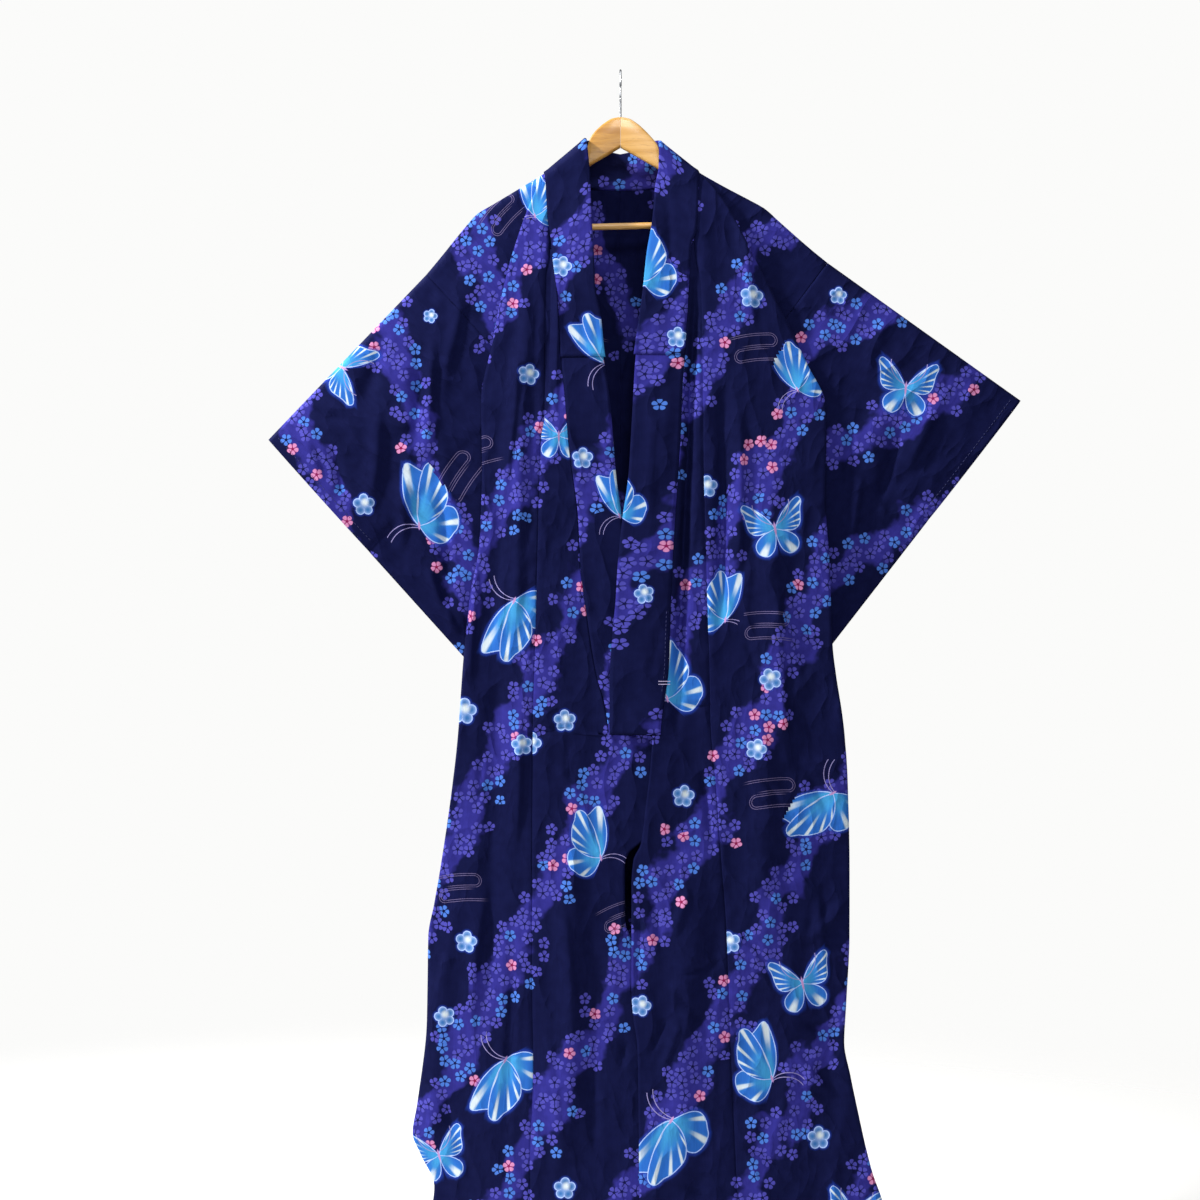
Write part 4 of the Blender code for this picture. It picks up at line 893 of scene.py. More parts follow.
def mistGroup():  # slanting bands of mist on navy, with five-petalled blossoms in them
    group, given, result = newGroup("mistAndBlossoms", {"Grain": "Vector"}, {"Colour": "Color"})
    sizes = mistPrint

    def bandAt(place):
        parts = add(group, splitNode, None, place)
        rise = add(group, mathNode, "DIVIDE", parts.outputs["Y"], sizes["bandRise"])
        run = add(group, mathNode, "DIVIDE", parts.outputs["X"], sizes["bandRun"])
        phase = add(group, mathNode, "SUBTRACT", rise, run)
        drift = add(group, noiseNode, planar, Vector=place, Scale=sizes["driftScale"], Detail=1.0)
        drift = add(group, mathNode, "MULTIPLY_ADD", drift, sizes["drift"], -0.5 * sizes["drift"])
        return add(group, mathNode, "PINGPONG", add(group, mathNode, "ADD", phase, drift), 0.5)

    fine = add(group, noiseNode, planar, Vector=given["Grain"], Scale=sizes["frayScale"], Detail=1.0)
    edge = add(group, mathNode, "MULTIPLY_ADD", fine, sizes["fray"], bandAt(given["Grain"]))
    band = add(group, rangeNode, smooth, edge, *sizes["mistEdge"], 1.0, 0.0)
    ground = add(group, mixNode, None, fine, inks["deepNavy"], inks["navy"])
    haze = add(group, mixNode, None, fine, inks["mist"], inks["mistLight"])
    base = add(group, mixNode, None, band, ground, haze)

    cells = add(group, "ShaderNodeTexVoronoi", {"voronoi_dimensions": "2D"}, Vector=given["Grain"],
                Scale=1.0 / sizes["blossomCell"], Randomness=sizes["scatter"])
    offset = add(group, vectorNode, "SUBTRACT", given["Grain"], cells.outputs["Position"])
    chance = add(group, "ShaderNodeSeparateColor", None, cells.outputs["Color"])
    reach, bearing = polar(group, offset)
    bearing = add(group, mathNode, "MULTIPLY_ADD", chance.outputs["Red"], 2.0 * math.pi, bearing)
    along, aside = petalPlace(group, reach, bearing)
    widened = add(group, mathNode, "MULTIPLY_ADD", along, sizes["petalFlare"], sizes["petalFoot"])
    along = add(group, mathNode, "SUBTRACT", along, sizes["petalOut"])
    along = add(group, mathNode, "DIVIDE", along, sizes["petalHalfLength"])
    aside = add(group, mathNode, "DIVIDE", aside, widened)
    oval = add(group, joinNode, None, along, aside)
    oval = add(group, vectorNode, "LENGTH", oval).outputs["Value"]
    inPetal = add(group, rangeNode, None, oval, *sizes["petalRim"], 1.0, 0.0)
    cellBand = bandAt(cells.outputs["Position"])
    cellBand = add(group, mathNode, "MULTIPLY_ADD", chance.outputs["Green"], sizes["fray"], cellBand)
    grows = add(group, mathNode, "LESS_THAN", cellBand, sizes["blossomEdge"])
    isSky = add(group, mathNode, "GREATER_THAN", chance.outputs["Blue"], sizes["skyAbove"])
    isPink = add(group, mathNode, "LESS_THAN", chance.outputs["Blue"], sizes["pinkBelow"])
    colour = add(group, mixNode, None, isSky, inks["violet"], inks["sky"])
    colour = add(group, mixNode, None, isPink, colour, inks["pink"])
    heart = add(group, mixNode, None, isPink, inks["deepNavy"], inks["pinkHeart"])
    star = add(group, rangeNode, None, reach, *sizes["heart"], sizes["heartStrength"], 0.0)
    star = add(group, mathNode, "MULTIPLY", star, grows)
    base = add(group, mixNode, None, star, base, heart)
    blossom = add(group, mathNode, "MULTIPLY", inPetal, grows)
    shown = add(group, mixNode, None, blossom, base, colour)
    return endGroup(group, result, Colour=shown)


# Wings drawn about the body: outline rows are (degrees, millimetres), streaks are their first angle and step
wings = {
    "openUpper": {"size": 0.062, "streaks": (38.0, 13.0), "outline": (
        (-26, 2), (-20, 14), (-13, 27), (-5, 35), (5, 40), (15, 43), (25, 47), (33, 53), (39, 60), (44, 61),
        (49, 52), (55, 34), (62, 15), (70, 3))},
    "openLower": {"size": 0.048, "streaks": (-57.0, 60.0), "outline": (
        (-92, 3), (-86, 17), (-80, 31), (-72, 40), (-63, 45), (-53, 46), (-43, 44), (-33, 39), (-25, 30), (-17, 14),
        (-10, 2))},
    "foldedBack": {"size": 0.096, "streaks": (101.0, 30.0), "outline": (
        (74, 60), (82, 78), (88, 82), (94, 88), (100, 93), (104, 84), (109, 66), (115, 48), (122, 28), (132, 10),
        (142, 2))},
    "foldedFront": {"size": 0.096, "streaks": (76.0, 15.0), "outline": (
        (6, 2), (14, 14), (24, 30), (34, 47), (43, 60), (52, 68), (61, 77), (69, 84), (76, 94), (81, 90), (86, 70),
        (91, 44), (98, 18), (106, 3))},
    "foldedLower": {"size": 0.062, "streaks": (4.0, 34.0), "outline": (
        (-64, 3), (-56, 20), (-48, 34), (-38, 43), (-26, 48), (-14, 52), (-4, 57), (8, 59), (20, 59), (30, 54),
        (38, 42), (46, 20), (54, 3))},
}


wingInk = {                    # metres, and shares of the way from the body to the edge
    "curveStep": 1.0 / 256.0,  # turns to each side of a point, between which the outline's slope is taken
    "taper": 8,                # degrees past the outline's ends
    "least": 0.002,
    "soft": 0.0002,
    "rim": (0.0003, 0.0007),   # the pale outline's middle and half width
    "glow": 0.0065,
    "glowStrength": 0.75,
    "root": (0.15, 0.75),
    "sheen": (-0.2, 1.0, 0.0, 0.40),
    "streak": (0.45, 0.95, 0.0, 0.85),
    "streakFrom": (0.45, 0.82),
}


def wingGroup(name):  # one wing: a shape in polar coordinates with a pale outline, a glow and streaks
    wing, size = wings[name], wings[name]["size"]
    group, given, result = newGroup(name + "Wing", {"Place": "Vector", "Under": "Color", "Cover": "Float"},
                                    {"Colour": "Color", "Cover": "Float"})
    reach, angle = polar(group, given["Place"])
    outline, taper, step = wing["outline"], wingInk["taper"], wingInk["curveStep"]
    edges = []
    for shift in (-step, step):
        turn = add(group, mathNode, "MULTIPLY_ADD", angle, 0.5 / math.pi, 0.5 + shift)
        edges.append(add(group, "ShaderNodeFloatCurve", None, 1.0, turn))
        curve = edges[-1].mapping.curves[0]
        curve.points[1].location = (1.0, 0.0)
        for degrees, millimetres in ((outline[0][0] - taper, 0), *outline, (outline[-1][0] + taper, 0)):
            curve.points.new(degrees / 360.0 + 0.5, 0.001 * millimetres / size)
        edges[-1].mapping.update()
    slope = add(group, mathNode, "SUBTRACT", edges[1], edges[0])
    slope = add(group, mathNode, "MULTIPLY", slope, size / (4.0 * math.pi * step))
    edge = add(group, mathNode, "ADD", edges[0], edges[1])
    edge = add(group, mathNode, "MULTIPLY", edge, 0.5 * size)
    lean = add(group, mathNode, "DIVIDE", slope, add(group, mathNode, "MAXIMUM", reach, wingInk["least"]))
    lean = add(group, mathNode, "MULTIPLY_ADD", lean, lean, 1.0)
    inside = add(group, mathNode, "SUBTRACT", edge, reach)
    inside = add(group, mathNode, "MULTIPLY", inside, add(group, mathNode, "INVERSE_SQRT", lean))
    share = add(group, mathNode, "DIVIDE", reach, add(group, mathNode, "MAXIMUM", edge, wingInk["least"]))
    within = add(group, rangeNode, None, inside, -wingInk["soft"], wingInk["soft"], 0.0, 1.0)
    rim = add(group, mathNode, "COMPARE", inside, *wingInk["rim"])
    glow = add(group, rangeNode, smooth, inside, -wingInk["glow"], 0.0, 0.0, wingInk["glowStrength"])
    middle = add(group, rangeNode, smooth, share, *wingInk["root"])
    fill = add(group, mixNode, None, middle, inks["wingRoot"], inks["wing"])
    first, apart = wing["streaks"]
    rays = add(group, mathNode, "MULTIPLY_ADD", angle, 360.0 / apart, -math.radians(first) * 360.0 / apart)
    rays = add(group, mathNode, "COSINE", rays)
    sheen = add(group, rangeNode, smooth, rays, *wingInk["sheen"])
    fill = add(group, mixNode, None, sheen, fill, inks["wingRoot"])
    tips = add(group, rangeNode, smooth, share, *wingInk["streakFrom"])
    streak = add(group, rangeNode, smooth, rays, *wingInk["streak"])
    streak = add(group, mathNode, "MULTIPLY", streak, tips)
    fill = add(group, mixNode, None, streak, fill, inks["cream"])
    colour = add(group, mixNode, None, within, inks["glow"], fill)
    colour = add(group, mixNode, None, rim, colour, inks["outline"])
    solid = add(group, mathNode, "MAXIMUM", within, rim)
    shown = add(group, mixNode, None, solid, given["Under"], colour)
    bare = add(group, mathNode, "LESS_THAN", given["Cover"], 0.01)
    shown = add(group, mixNode, None, bare, shown, colour)
    cover = add(group, mathNode, "MAXIMUM", add(group, mathNode, "MAXIMUM", solid, glow), given["Cover"])
    return endGroup(group, result, Colour=shown, Cover=cover)


# Feelers are arcs: middle x and y, radius, and how far up they start and end
butterflies = {
    "openButterfly": {"origin": (0.0, -0.004), "wings": ("openLower", "openUpper"), "mirrored": True, "body": 0.0105,
                      "feelers": ((-0.007, 0.040, 0.035, 0.006, 0.041),)},
    "foldedButterfly": {"origin": (-0.016, -0.036), "wings": ("foldedBack", "foldedLower", "foldedFront"),
                        "mirrored": False, "body": 0.0060,
                        "feelers": ((-0.016, -0.034, 0.037, -0.033, 0.010), (-0.009, -0.040, 0.038, -0.039, 0.010))},
}
butterflyInk = {"bodyHalfWidth": 0.0017, "bodyRim": (0.8, 1.2), "feelerHalfWidth": 0.0006, "feelerFrom": 0.001}


def butterflyGroup(name):  # wings from the back layer to the front, then the body
    insect = butterflies[name]
    group, given, result = newGroup(name, {"Motif": "Vector"}, {"Colour": "Color", "Cover": "Float"})
    parts = add(group, splitNode, None, given["Motif"])
    across = add(group, mathNode, "SUBTRACT", parts.outputs["X"], insect["origin"][0])
    up = add(group, mathNode, "SUBTRACT", parts.outputs["Y"], insect["origin"][1])
    if insect["mirrored"]:
        across = add(group, mathNode, "ABSOLUTE", across)
    spot = add(group, joinNode, None, across, up)
    colour, cover = inks["glow"], 0.0
    for layer in insect["wings"]:
        wing = add(group, groupNode, {"node_tree": wingGroup(layer)}, spot, colour, cover)
        colour, cover = wing.outputs["Colour"], wing.outputs["Cover"]
    long = add(group, mathNode, "DIVIDE", up, insect["body"])
    thick = add(group, mathNode, "DIVIDE", across, butterflyInk["bodyHalfWidth"])
    body = add(group, vectorNode, "LENGTH", add(group, joinNode, None, long, thick))
    body = add(group, rangeNode, None, body.outputs["Value"], *butterflyInk["bodyRim"], 1.0, 0.0)
    lines = 0.0
    for x, y, radius, bottom, top in insect["feelers"]:
        away = add(group, vectorNode, "DISTANCE", spot, (x, y, 0.0)).outputs["Value"]
        line = add(group, mathNode, "COMPARE", away, radius, butterflyInk["feelerHalfWidth"])
        clear = add(group, mathNode, "GREATER_THAN" if insect["mirrored"] else "LESS_THAN", across,
                    butterflyInk["feelerFrom"])
        below = add(group, mathNode, "LESS_THAN", up, top)
        above = add(group, mathNode, "GREATER_THAN", up, bottom)
        for bound in (clear, below, above):
            line = add(group, mathNode, "MULTIPLY", line, bound)
        lines = add(group, mathNode, "MAXIMUM", line, lines)
    colour = add(group, mixNode, None, lines, colour, inks["feeler"])
    colour = add(group, mixNode, None, body, colour, inks["body"])
    cover = add(group, mathNode, "MAXIMUM", add(group, mathNode, "MAXIMUM", body, lines), cover)
    return endGroup(group, result, Colour=colour, Cover=cover)


plumInk = {                    # metres, but for the strengths
    "petalOut": 0.0098,
    "petal": 0.0066,
    "core": 0.0058,
    "rim": (0.0002, 0.0008),
    "glow": 0.0045,
    "glowStrength": 0.7,
    "lightPlace": (0.003, 0.003, 0.0),
    "light": (0.001, 0.0085, 0.95, 0.0),
    "fold": (0.0, 0.006, 0.45, 0.0),
}


def plumGroup():  # a plum blossom of five round petals, with a pale light off its middle
    group, given, result = newGroup("plumBlossom", {"Motif": "Vector"}, {"Colour": "Color", "Cover": "Float"})
    out, bearing = polar(group, given["Motif"])
    along, aside = petalPlace(group, out, bearing)
    along = add(group, mathNode, "SUBTRACT", along, plumInk["petalOut"])
    apart = add(group, vectorNode, "LENGTH", add(group, joinNode, None, along, aside))
    inside = add(group, mathNode, "SUBTRACT", plumInk["petal"], apart.outputs["Value"])
    core = add(group, mathNode, "SUBTRACT", plumInk["core"], out)
    within = add(group, mathNode, "GREATER_THAN", add(group, mathNode, "MAXIMUM", inside, core), 0.0)
    rim = add(group, mathNode, "COMPARE", inside, *plumInk["rim"])
    rim = add(group, mathNode, "MULTIPLY", rim, add(group, mathNode, "LESS_THAN", core, 0.0))
    glow = add(group, rangeNode, smooth, inside, -plumInk["glow"], 0.0, 0.0, plumInk["glowStrength"])
    light = add(group, vectorNode, "DISTANCE", given["Motif"], plumInk["lightPlace"]).outputs["Value"]
    light = add(group, rangeNode, smooth, light, *plumInk["light"])
    fold = add(group, rangeNode, smooth, inside, *plumInk["fold"])
    fill = add(group, mixNode, None, fold, inks["plum"], inks["outline"])
    fill = add(group, mixNode, None, light, fill, inks["cream"])
    colour = add(group, mixNode, None, within, inks["glow"], fill)
    colour = add(group, mixNode, None, rim, colour, inks["outline"])
    cover = add(group, mathNode, "MAXIMUM", add(group, mathNode, "MAXIMUM", within, rim), glow)
    return endGroup(group, result, Colour=colour, Cover=cover)


streamInk = {                  # metres, but for the bow and the strength
    "half": 0.026,
    "radius": 0.0115,
    "apart": 0.0034,
    "line": 0.00045,
    "tail": 0.022,
    "tailStart": 0.0078,
    "bow": 2.2,
    "fade": (-0.034, -0.018),
    "strength": 0.8,
}


def streamGroup():  # running water: two hairpin bends in thin double lines, each the other's half turn
    group, given, result = newGroup("runningWater", {"Motif": "Vector"}, {"Colour": "Color", "Cover": "Float"})
    sizes = streamInk
    parts = add(group, splitNode, None, given["Motif"])
    bent = add(group, mathNode, "MULTIPLY", parts.outputs["X"], parts.outputs["X"])
    up = add(group, mathNode, "MULTIPLY_ADD", bent, sizes["bow"], parts.outputs["Y"])
    half = add(group, mathNode, "SIGN", up)
    across = add(group, mathNode, "MULTIPLY", parts.outputs["X"], half)
    up = add(group, mathNode, "ABSOLUTE", up)
    past = add(group, mathNode, "SUBTRACT", across, sizes["half"])
    past = add(group, mathNode, "MAXIMUM", past, 0.0)
    high = add(group, mathNode, "SUBTRACT", up, sizes["radius"])
    bend = add(group, vectorNode, "LENGTH", add(group, joinNode, None, past, high))
    outer = add(group, mathNode, "COMPARE", bend.outputs["Value"], sizes["radius"], sizes["line"])
    inner = add(group, mathNode, "COMPARE", bend.outputs["Value"], sizes["radius"] - sizes["apart"], sizes["line"])
    top = add(group, mathNode, "GREATER_THAN", high, 0.0)
    start = add(group, mathNode, "MULTIPLY_ADD", top, -sizes["tail"], sizes["tailStart"])
    start = add(group, mathNode, "SUBTRACT", across, start)
    fade = add(group, rangeNode, smooth, start, *sizes["fade"])
    lines = add(group, mathNode, "MAXIMUM", outer, inner)
    lines = add(group, mathNode, "MULTIPLY", lines, fade)
    lines = add(group, mathNode, "MULTIPLY", lines, sizes["strength"])
    result["Colour"].default_value = inks["stream"]
    return endGroup(group, result, Cover=lines)


cottonFinish = {
    "roughness": 0.85,
    "specular": 0.03,          # dyed cotton hardly shines
    "thread": 0.0024,          # the real threads are about 0.45 mm apart, too fine to show, so they are drawn coarser
    "weave": (0.6, 0.00005),   # strength and height of the bump
    "crease": (1.0, 0.0026),
    "creaseScale": 22.0,
    "creaseTurn": 12.0,
    "creaseStretch": (1.0, 0.5, 1.0),
    "slub": 0.04,
    "slubScale": 420.0,
    "slubStretch": (1.0, 0.06, 1.0),
}


def printedCotton(name, mist, large=None):  # plain-weave yukata cotton: matt, a little slubby, printed on its face
    finish, tree, shader = newFinish(name, {"Roughness": cottonFinish["roughness"],
                                            "Specular IOR Level": cottonFinish["specular"]})
    grain = add(tree, uvNode, {"uv_map": "grain"})
    dyed = add(tree, groupNode, {"node_tree": mist}, grain)
    if large:
        motif = add(tree, uvNode, {"uv_map": "motif"})
        drawn = add(tree, groupNode, {"node_tree": large}, motif)
        dyed = add(tree, mixNode, None, drawn.outputs["Cover"], dyed, drawn.outputs["Colour"])
    stretched = add(tree, placeNode, None, grain, Scale=cottonFinish["slubStretch"])
    slub = add(tree, noiseNode, planar, Vector=stretched, Scale=cottonFinish["slubScale"], Detail=1.0)
    slub = add(tree, mathNode, "MULTIPLY_ADD", slub, 4.0 * cottonFinish["slub"], 1.0 - 2.0 * cottonFinish["slub"])
    worn = add(tree, vectorNode, "SCALE", dyed, Scale=slub)
    tree.links.new(worn.outputs[0], shader.inputs["Base Color"])
    parts = add(tree, splitNode, None, grain)
    turns = 2.0 * math.pi / cottonFinish["thread"]
    warp = add(tree, mathNode, "MULTIPLY", parts.outputs["X"], turns)
    weft = add(tree, mathNode, "MULTIPLY", parts.outputs["Y"], turns)
    weave = add(tree, mathNode, "MULTIPLY", add(tree, mathNode, "SINE", warp), add(tree, mathNode, "SINE", weft))
    woven = add(tree, bumpNode, None, *cottonFinish["weave"], Height=weave)
    slanted = add(tree, placeNode, None, grain, Scale=cottonFinish["creaseStretch"],
                  Rotation=(0.0, 0.0, math.radians(cottonFinish["creaseTurn"])))
    creased = add(tree, noiseNode, planar | {"noise_type": "RIDGED_MULTIFRACTAL"},
                  Vector=slanted, Scale=cottonFinish["creaseScale"], Detail=2.0, Offset=1.0)
    creased = add(tree, bumpNode, None, *cottonFinish["crease"], Height=creased, Normal=woven)
    tree.links.new(creased.outputs[0], shader.inputs["Normal"])
    return finish


stitches = {                   # metres
    "long": 0.0034,
    "step": 0.0064,
    "radius": 0.00035,
    "above": 0.0007,           # how far the thread's middle stands off the cloth's own middle
    "fromCuff": 3,             # columns in from the cuff's edge
    "fromCollarEdge": 1,
    "aboveCollar": 0.0002,
    "collarRows": (12, 34),    # the last stretch of the band on the left front, counted from its end
    "ends": 2,                 # rows left bare at the ends of a line
}
barTack = {"row": 14, "inward": 0.002, "above": 0.0008, "halfWidth": 0.0075, "halfGap": 0.0022, "step": 0.0030,
           "long": 0.0031, "radius": 0.0006}
threads = {"navy": "#2b2f66", "lilac": "#a99fc4", "roughness": 0.55, "sheen": 0.1}


def stitchTree():  # lays a short thread on each point of evenly divided lines
    tree, given, result = newGroup("runningStitches", {
        "Lines": "Geometry", "Step": "Float", "Long": "Float", "Radius": "Float", "Thread": "Material"}, {
        "Stitches": "Geometry"}, "GeometryNodeTree")
    route = add(tree, "GeometryNodeMeshToCurve", None, given["Lines"])
    even = add(tree, "GeometryNodeResampleCurve", {"mode": "LENGTH"}, Curve=route, Length=given["Step"])
    thread = add(tree, "GeometryNodeMeshCylinder", None, Vertices=6, Radius=given["Radius"], Depth=given["Long"])
    tangent = add(tree, "GeometryNodeInputTangent")
    heading = add(tree, "FunctionNodeAlignRotationToVector", {"axis": "Z"}, Vector=tangent)
    laid = add(tree, "GeometryNodeInstanceOnPoints", None, Points=even, Instance=thread, Rotation=heading)
    real = add(tree, "GeometryNodeRealizeInstances", None, laid)
    dressed = add(tree, "GeometryNodeSetMaterial", None, real, Material=given["Thread"])
    return endGroup(tree, result, Stitches=dressed)


def sewLines(name, lines, tree, thread, sizes):  # stitches along every line, as one plain mesh
    corners = [point for line in lines for point in line]
    counts = np.cumsum([0] + [len(line) for line in lines])
    edges = [(index, index + 1) for first, last in zip(counts, counts[1:]) for index in range(first, last - 1)]
    route = bpy.data.meshes.new(name + "Route")
    route.from_pydata([tuple(map(float, point)) for point in corners], edges, [])
    guide = newObject(name + "Route", route)
    sewing = guide.modifiers.new("sewing", "NODES")
    sewing.node_group = tree
    sockets = {item.name: item.identifier for item in tree.interface.items_tree if item.in_out == "INPUT"}
    for label in ("Step", "Long", "Radius"):
        sewing[sockets[label]] = sizes[label.lower()]
    sewing[sockets["Thread"]] = thread
    bpy.context.view_layer.update()
    made = guide.evaluated_get(bpy.context.evaluated_depsgraph_get())
    mesh = bpy.data.meshes.new_from_object(made)
    bpy.data.objects.remove(guide)
    mesh.name = name
    return newObject(name, mesh)


def cottonThread(name, colour):  # mercerised cotton sewing thread, with a faint silky shine
    return newFinish(name, {"Base Color": linear(colour), "Roughness": threads["roughness"],
                            "Sheen Weight": threads["sheen"]})[0]


def circle(count):  # the angles of points evenly round a circle
    return np.linspace(0.0, 2.0 * math.pi, count + 1)[:-1]


def roundBar(name, sections, finish):  # skins rings of points and closes both ends
    form = bmesh.new()
    rings = [[form.verts.new(point) for point in ring] for ring in sections]
    for first, second in zip(rings, rings[1:]):
        for index in range(len(first)):
            after = (index + 1) % len(first)
            form.faces.new((first[index], first[after], second[after], second[index]))
    form.faces.new(rings[0])
    form.faces.new(rings[-1])
    bmesh.ops.recalc_face_normals(form, faces=form.faces)
    mesh = bpy.data.meshes.new(name)
    form.to_mesh(mesh)
    form.free()
    mesh.shade_smooth()
    mesh.set_sharp_from_angle(angle=math.radians(hanger["sharpFrom"]))
    mesh.materials.append(finish)
    return newObject(name, mesh)


hanger = {
    "halfThickness": 0.0055,
    "headTop": ((0.0, 0.0695), (0.012, 0.0715), (0.025, 0.079), (0.040, 0.0925)),     # out, drop
    "underside": ((0.0, 0.117), (0.0515, 0.148), (0.100, 0.178), (0.150, 0.209), (0.172, 0.226), (0.182, 0.254),
                  (0.205, 0.260), (0.222, 0.250)),
    "headInset": 0.004,
    "headEdge": 0.003,
    "clearance": 0.0016,
    "collarRoom": 0.0090,
    "collarRoomEnd": 0.112,
    "collarRoomFade": 0.012,
    "heelOut": 0.2185,
    "topEnd": 0.216,
    "spans": ((0.00015, 0.06, 15), (0.064, 0.205, 28), (0.208, 0.2209, 10)),     # from, to, and sections there
    "endRound": 0.012,
    "endThin": 0.35,
    "endDrop": 0.009,          # how far the top falls and the underside rises at the end
    "endLift": 0.007,
    "barRadius": 0.0050,
    "barReach": 0.186,
    "barDropRight": 0.2425,
    "barDropLeft": 0.2325,
    "wire": 0.0032,
    "tip": 0.55,               # the radius of the wire's last ring, as a share of the others
    "hookRadius": 0.0195,
    "hookStem": (0.084, 0.078, 0.070, 0.062, 0.055),
    "hookBend": (-72.0, 205.0),
    "hookPull": (0.020, 0.012),
    "sharpFrom": 50.0,         # edges that turn by more degrees than this stay crisp
}


def armTop(side, out):
    neckOut, neckDrop = side["ridge"][0]
    if out <= neckOut - hanger["headInset"]:
        return float(read(hanger["headTop"] + ((neckOut - hanger["headInset"], neckDrop + hanger["headEdge"]),), out))
    room = hanger["collarRoom"] * (1.0 - float(ease((out - hanger["collarRoomEnd"]) / hanger["collarRoomFade"])))
    ridge = np.array(side["ridge"])
    return float(np.interp(out, ridge[:, 0], ridge[:, 1])) + hanger["clearance"] + room


def armBottom(side, out):
    ridges = [np.array(found["ridge"]) for found in (side, right)]
    lean = [float(np.interp(hanger["heelOut"], ridge[:, 0], ridge[:, 1])) for ridge in ridges]
    return float(read(hanger["underside"], out)) + (lean[0] - lean[1]) * out / hanger["heelOut"]


def hangerArm(side, finish):
    outs = np.concatenate([np.linspace(*span) for span in hanger["spans"]])
    rings = []
    for out in outs:
        top, bottom = armTop(side, min(out, hanger["topEnd"])), armBottom(side, out)
        fromEnd = np.clip((outs[-1] - out) / hanger["endRound"], 0.0, 1.0)
        roundness = math.sqrt(max(0.0, 1.0 - (1.0 - fromEnd) ** 2))
        half = hanger["halfThickness"] * (hanger["endThin"] + (1.0 - hanger["endThin"]) * roundness)
        top, bottom = top + hanger["endDrop"] * (1.0 - roundness), bottom - hanger["endLift"] * (1.0 - roundness)
        straight = 0.5 * (bottom - top) - half
        ring = []
        for angle in circle(24) + math.pi / 24.0:
            across, up = math.cos(angle), math.sin(angle)
            drop = 0.5 * (top + bottom) - half * up - math.copysign(straight, up)
            ring.append((side["sign"] * out, half * across, -drop))
        rings.append(ring)
    return roundBar("hangerArm" + side["name"].capitalize(), rings, finish)


def trouserBar(finish):
    start = np.array((-hanger["barReach"], 0.0, -hanger["barDropRight"]))
    end = np.array((hanger["barReach"], 0.0, -hanger["barDropLeft"]))
    along = (end - start) / np.linalg.norm(end - start)
    up = np.array((-along[2], 0.0, along[0]))
    ring = np.array([np.array((0.0, math.cos(angle), 0.0)) + up * math.sin(angle) for angle in circle(28)])
    return roundBar("trouserBar", [start + (end - start) * share + ring * hanger["barRadius"]
                                   for share in np.linspace(0.0, 1.0, 9)], finish)


def wireHook(finish):
    middle = hanger["hookRadius"] + 0.5 * hanger["wire"]
    bend = np.radians(np.linspace(*hanger["hookBend"], 60))
    curved = [(middle * math.cos(angle), -hanger["hookRadius"] + middle * math.sin(angle)) for angle in bend]
    route = [(0.0, -drop) for drop in hanger["hookStem"]]
    tangent = np.array(curved[1]) - np.array(curved[0])
    upPull, bendPull = hanger["hookPull"]
    a, d = np.array(route[-1]), np.array(curved[0])
    b, c = a + np.array((0.0, upPull)), d - tangent / np.linalg.norm(tangent) * bendPull
    for share in np.linspace(0.0, 1.0, 10)[1:-1]:        # an easy curve from the stem into the bend
        route.append(tuple((1 - share) ** 3 * a + 3 * (1 - share) ** 2 * share * b
                           + 3 * (1 - share) * share ** 2 * c + share ** 3 * d))
    route = np.array(route + curved)
    heading = np.gradient(route, axis=0)
    heading /= np.linalg.norm(heading, axis=1, keepdims=True)
    rings = []
    for index, ((depth, height), (dy, dz)) in enumerate(zip(route, heading)):
        radius = 0.5 * hanger["wire"] * (hanger["tip"] if index == len(route) - 1 else 1.0)
        rings.append([(radius * math.sin(angle), depth - radius * math.cos(angle) * dz,
                       height + radius * math.cos(angle) * dy) for angle in circle(16)])
    return roundBar("wireHook", rings, finish)


beech = {
    "pale": ("#e3b268", "#d19c4c", 0.38),      # two tones, and the roughness
    # a darker copy of the same beech for the right arm: painted shade
    "dark": ("#c8933f", "#ab7528", 0.42),
    "slope": -28.0,            # the grain's, in degrees
    "stretch": (9.0, 90.0, 120.0),
    "grain": (0.35, 0.65),
    "fleckColour": "#9c7036",
    "fleckScale": 7.0,
    "flecks": (0.60, 0.72, 0.0, 0.35),
    "bump": (0.15, 0.0003),
    "coat": 0.35,
    "coatRoughness": 0.18,
}
steel = {"colour": "#b9bcc0", "markScale": 900.0, "marks": (0.3, 0.7, 0.20, 0.34)}


def beechWood(name, pale, dark, roughness):  # varnished beech: warm, with fine lengthways grain under a thin gloss
    finish, tree, shader = newFinish(name, {"Roughness": roughness, "Coat Weight": beech["coat"],
                                            "Coat Roughness": beech["coatRoughness"]})
    place = add(tree, "ShaderNodeTexCoord").outputs["Object"]
    stretched = add(tree, placeNode, None, place, Rotation=(0.0, math.radians(beech["slope"]), 0.0),
                    Scale=beech["stretch"])
    grain = add(tree, noiseNode, None, stretched, Scale=1.0, Detail=4.0, Distortion=0.3)
    flecks = add(tree, noiseNode, None, stretched, Scale=beech["fleckScale"], Detail=2.0)
    share = add(tree, rangeNode, smooth, grain, *beech["grain"], 0.0, 1.0)
    tone = add(tree, mixNode, None, share, linear(pale), linear(dark))
    fleck = add(tree, rangeNode, None, flecks, *beech["flecks"])
    tone = add(tree, mixNode, {"blend_type": "MULTIPLY"}, fleck, tone, linear(beech["fleckColour"]))
    tree.links.new(tone.outputs[0], shader.inputs["Base Color"])
    bump = add(tree, bumpNode, None, *beech["bump"], Height=grain)
    tree.links.new(bump.outputs[0], shader.inputs["Normal"])
    return finish


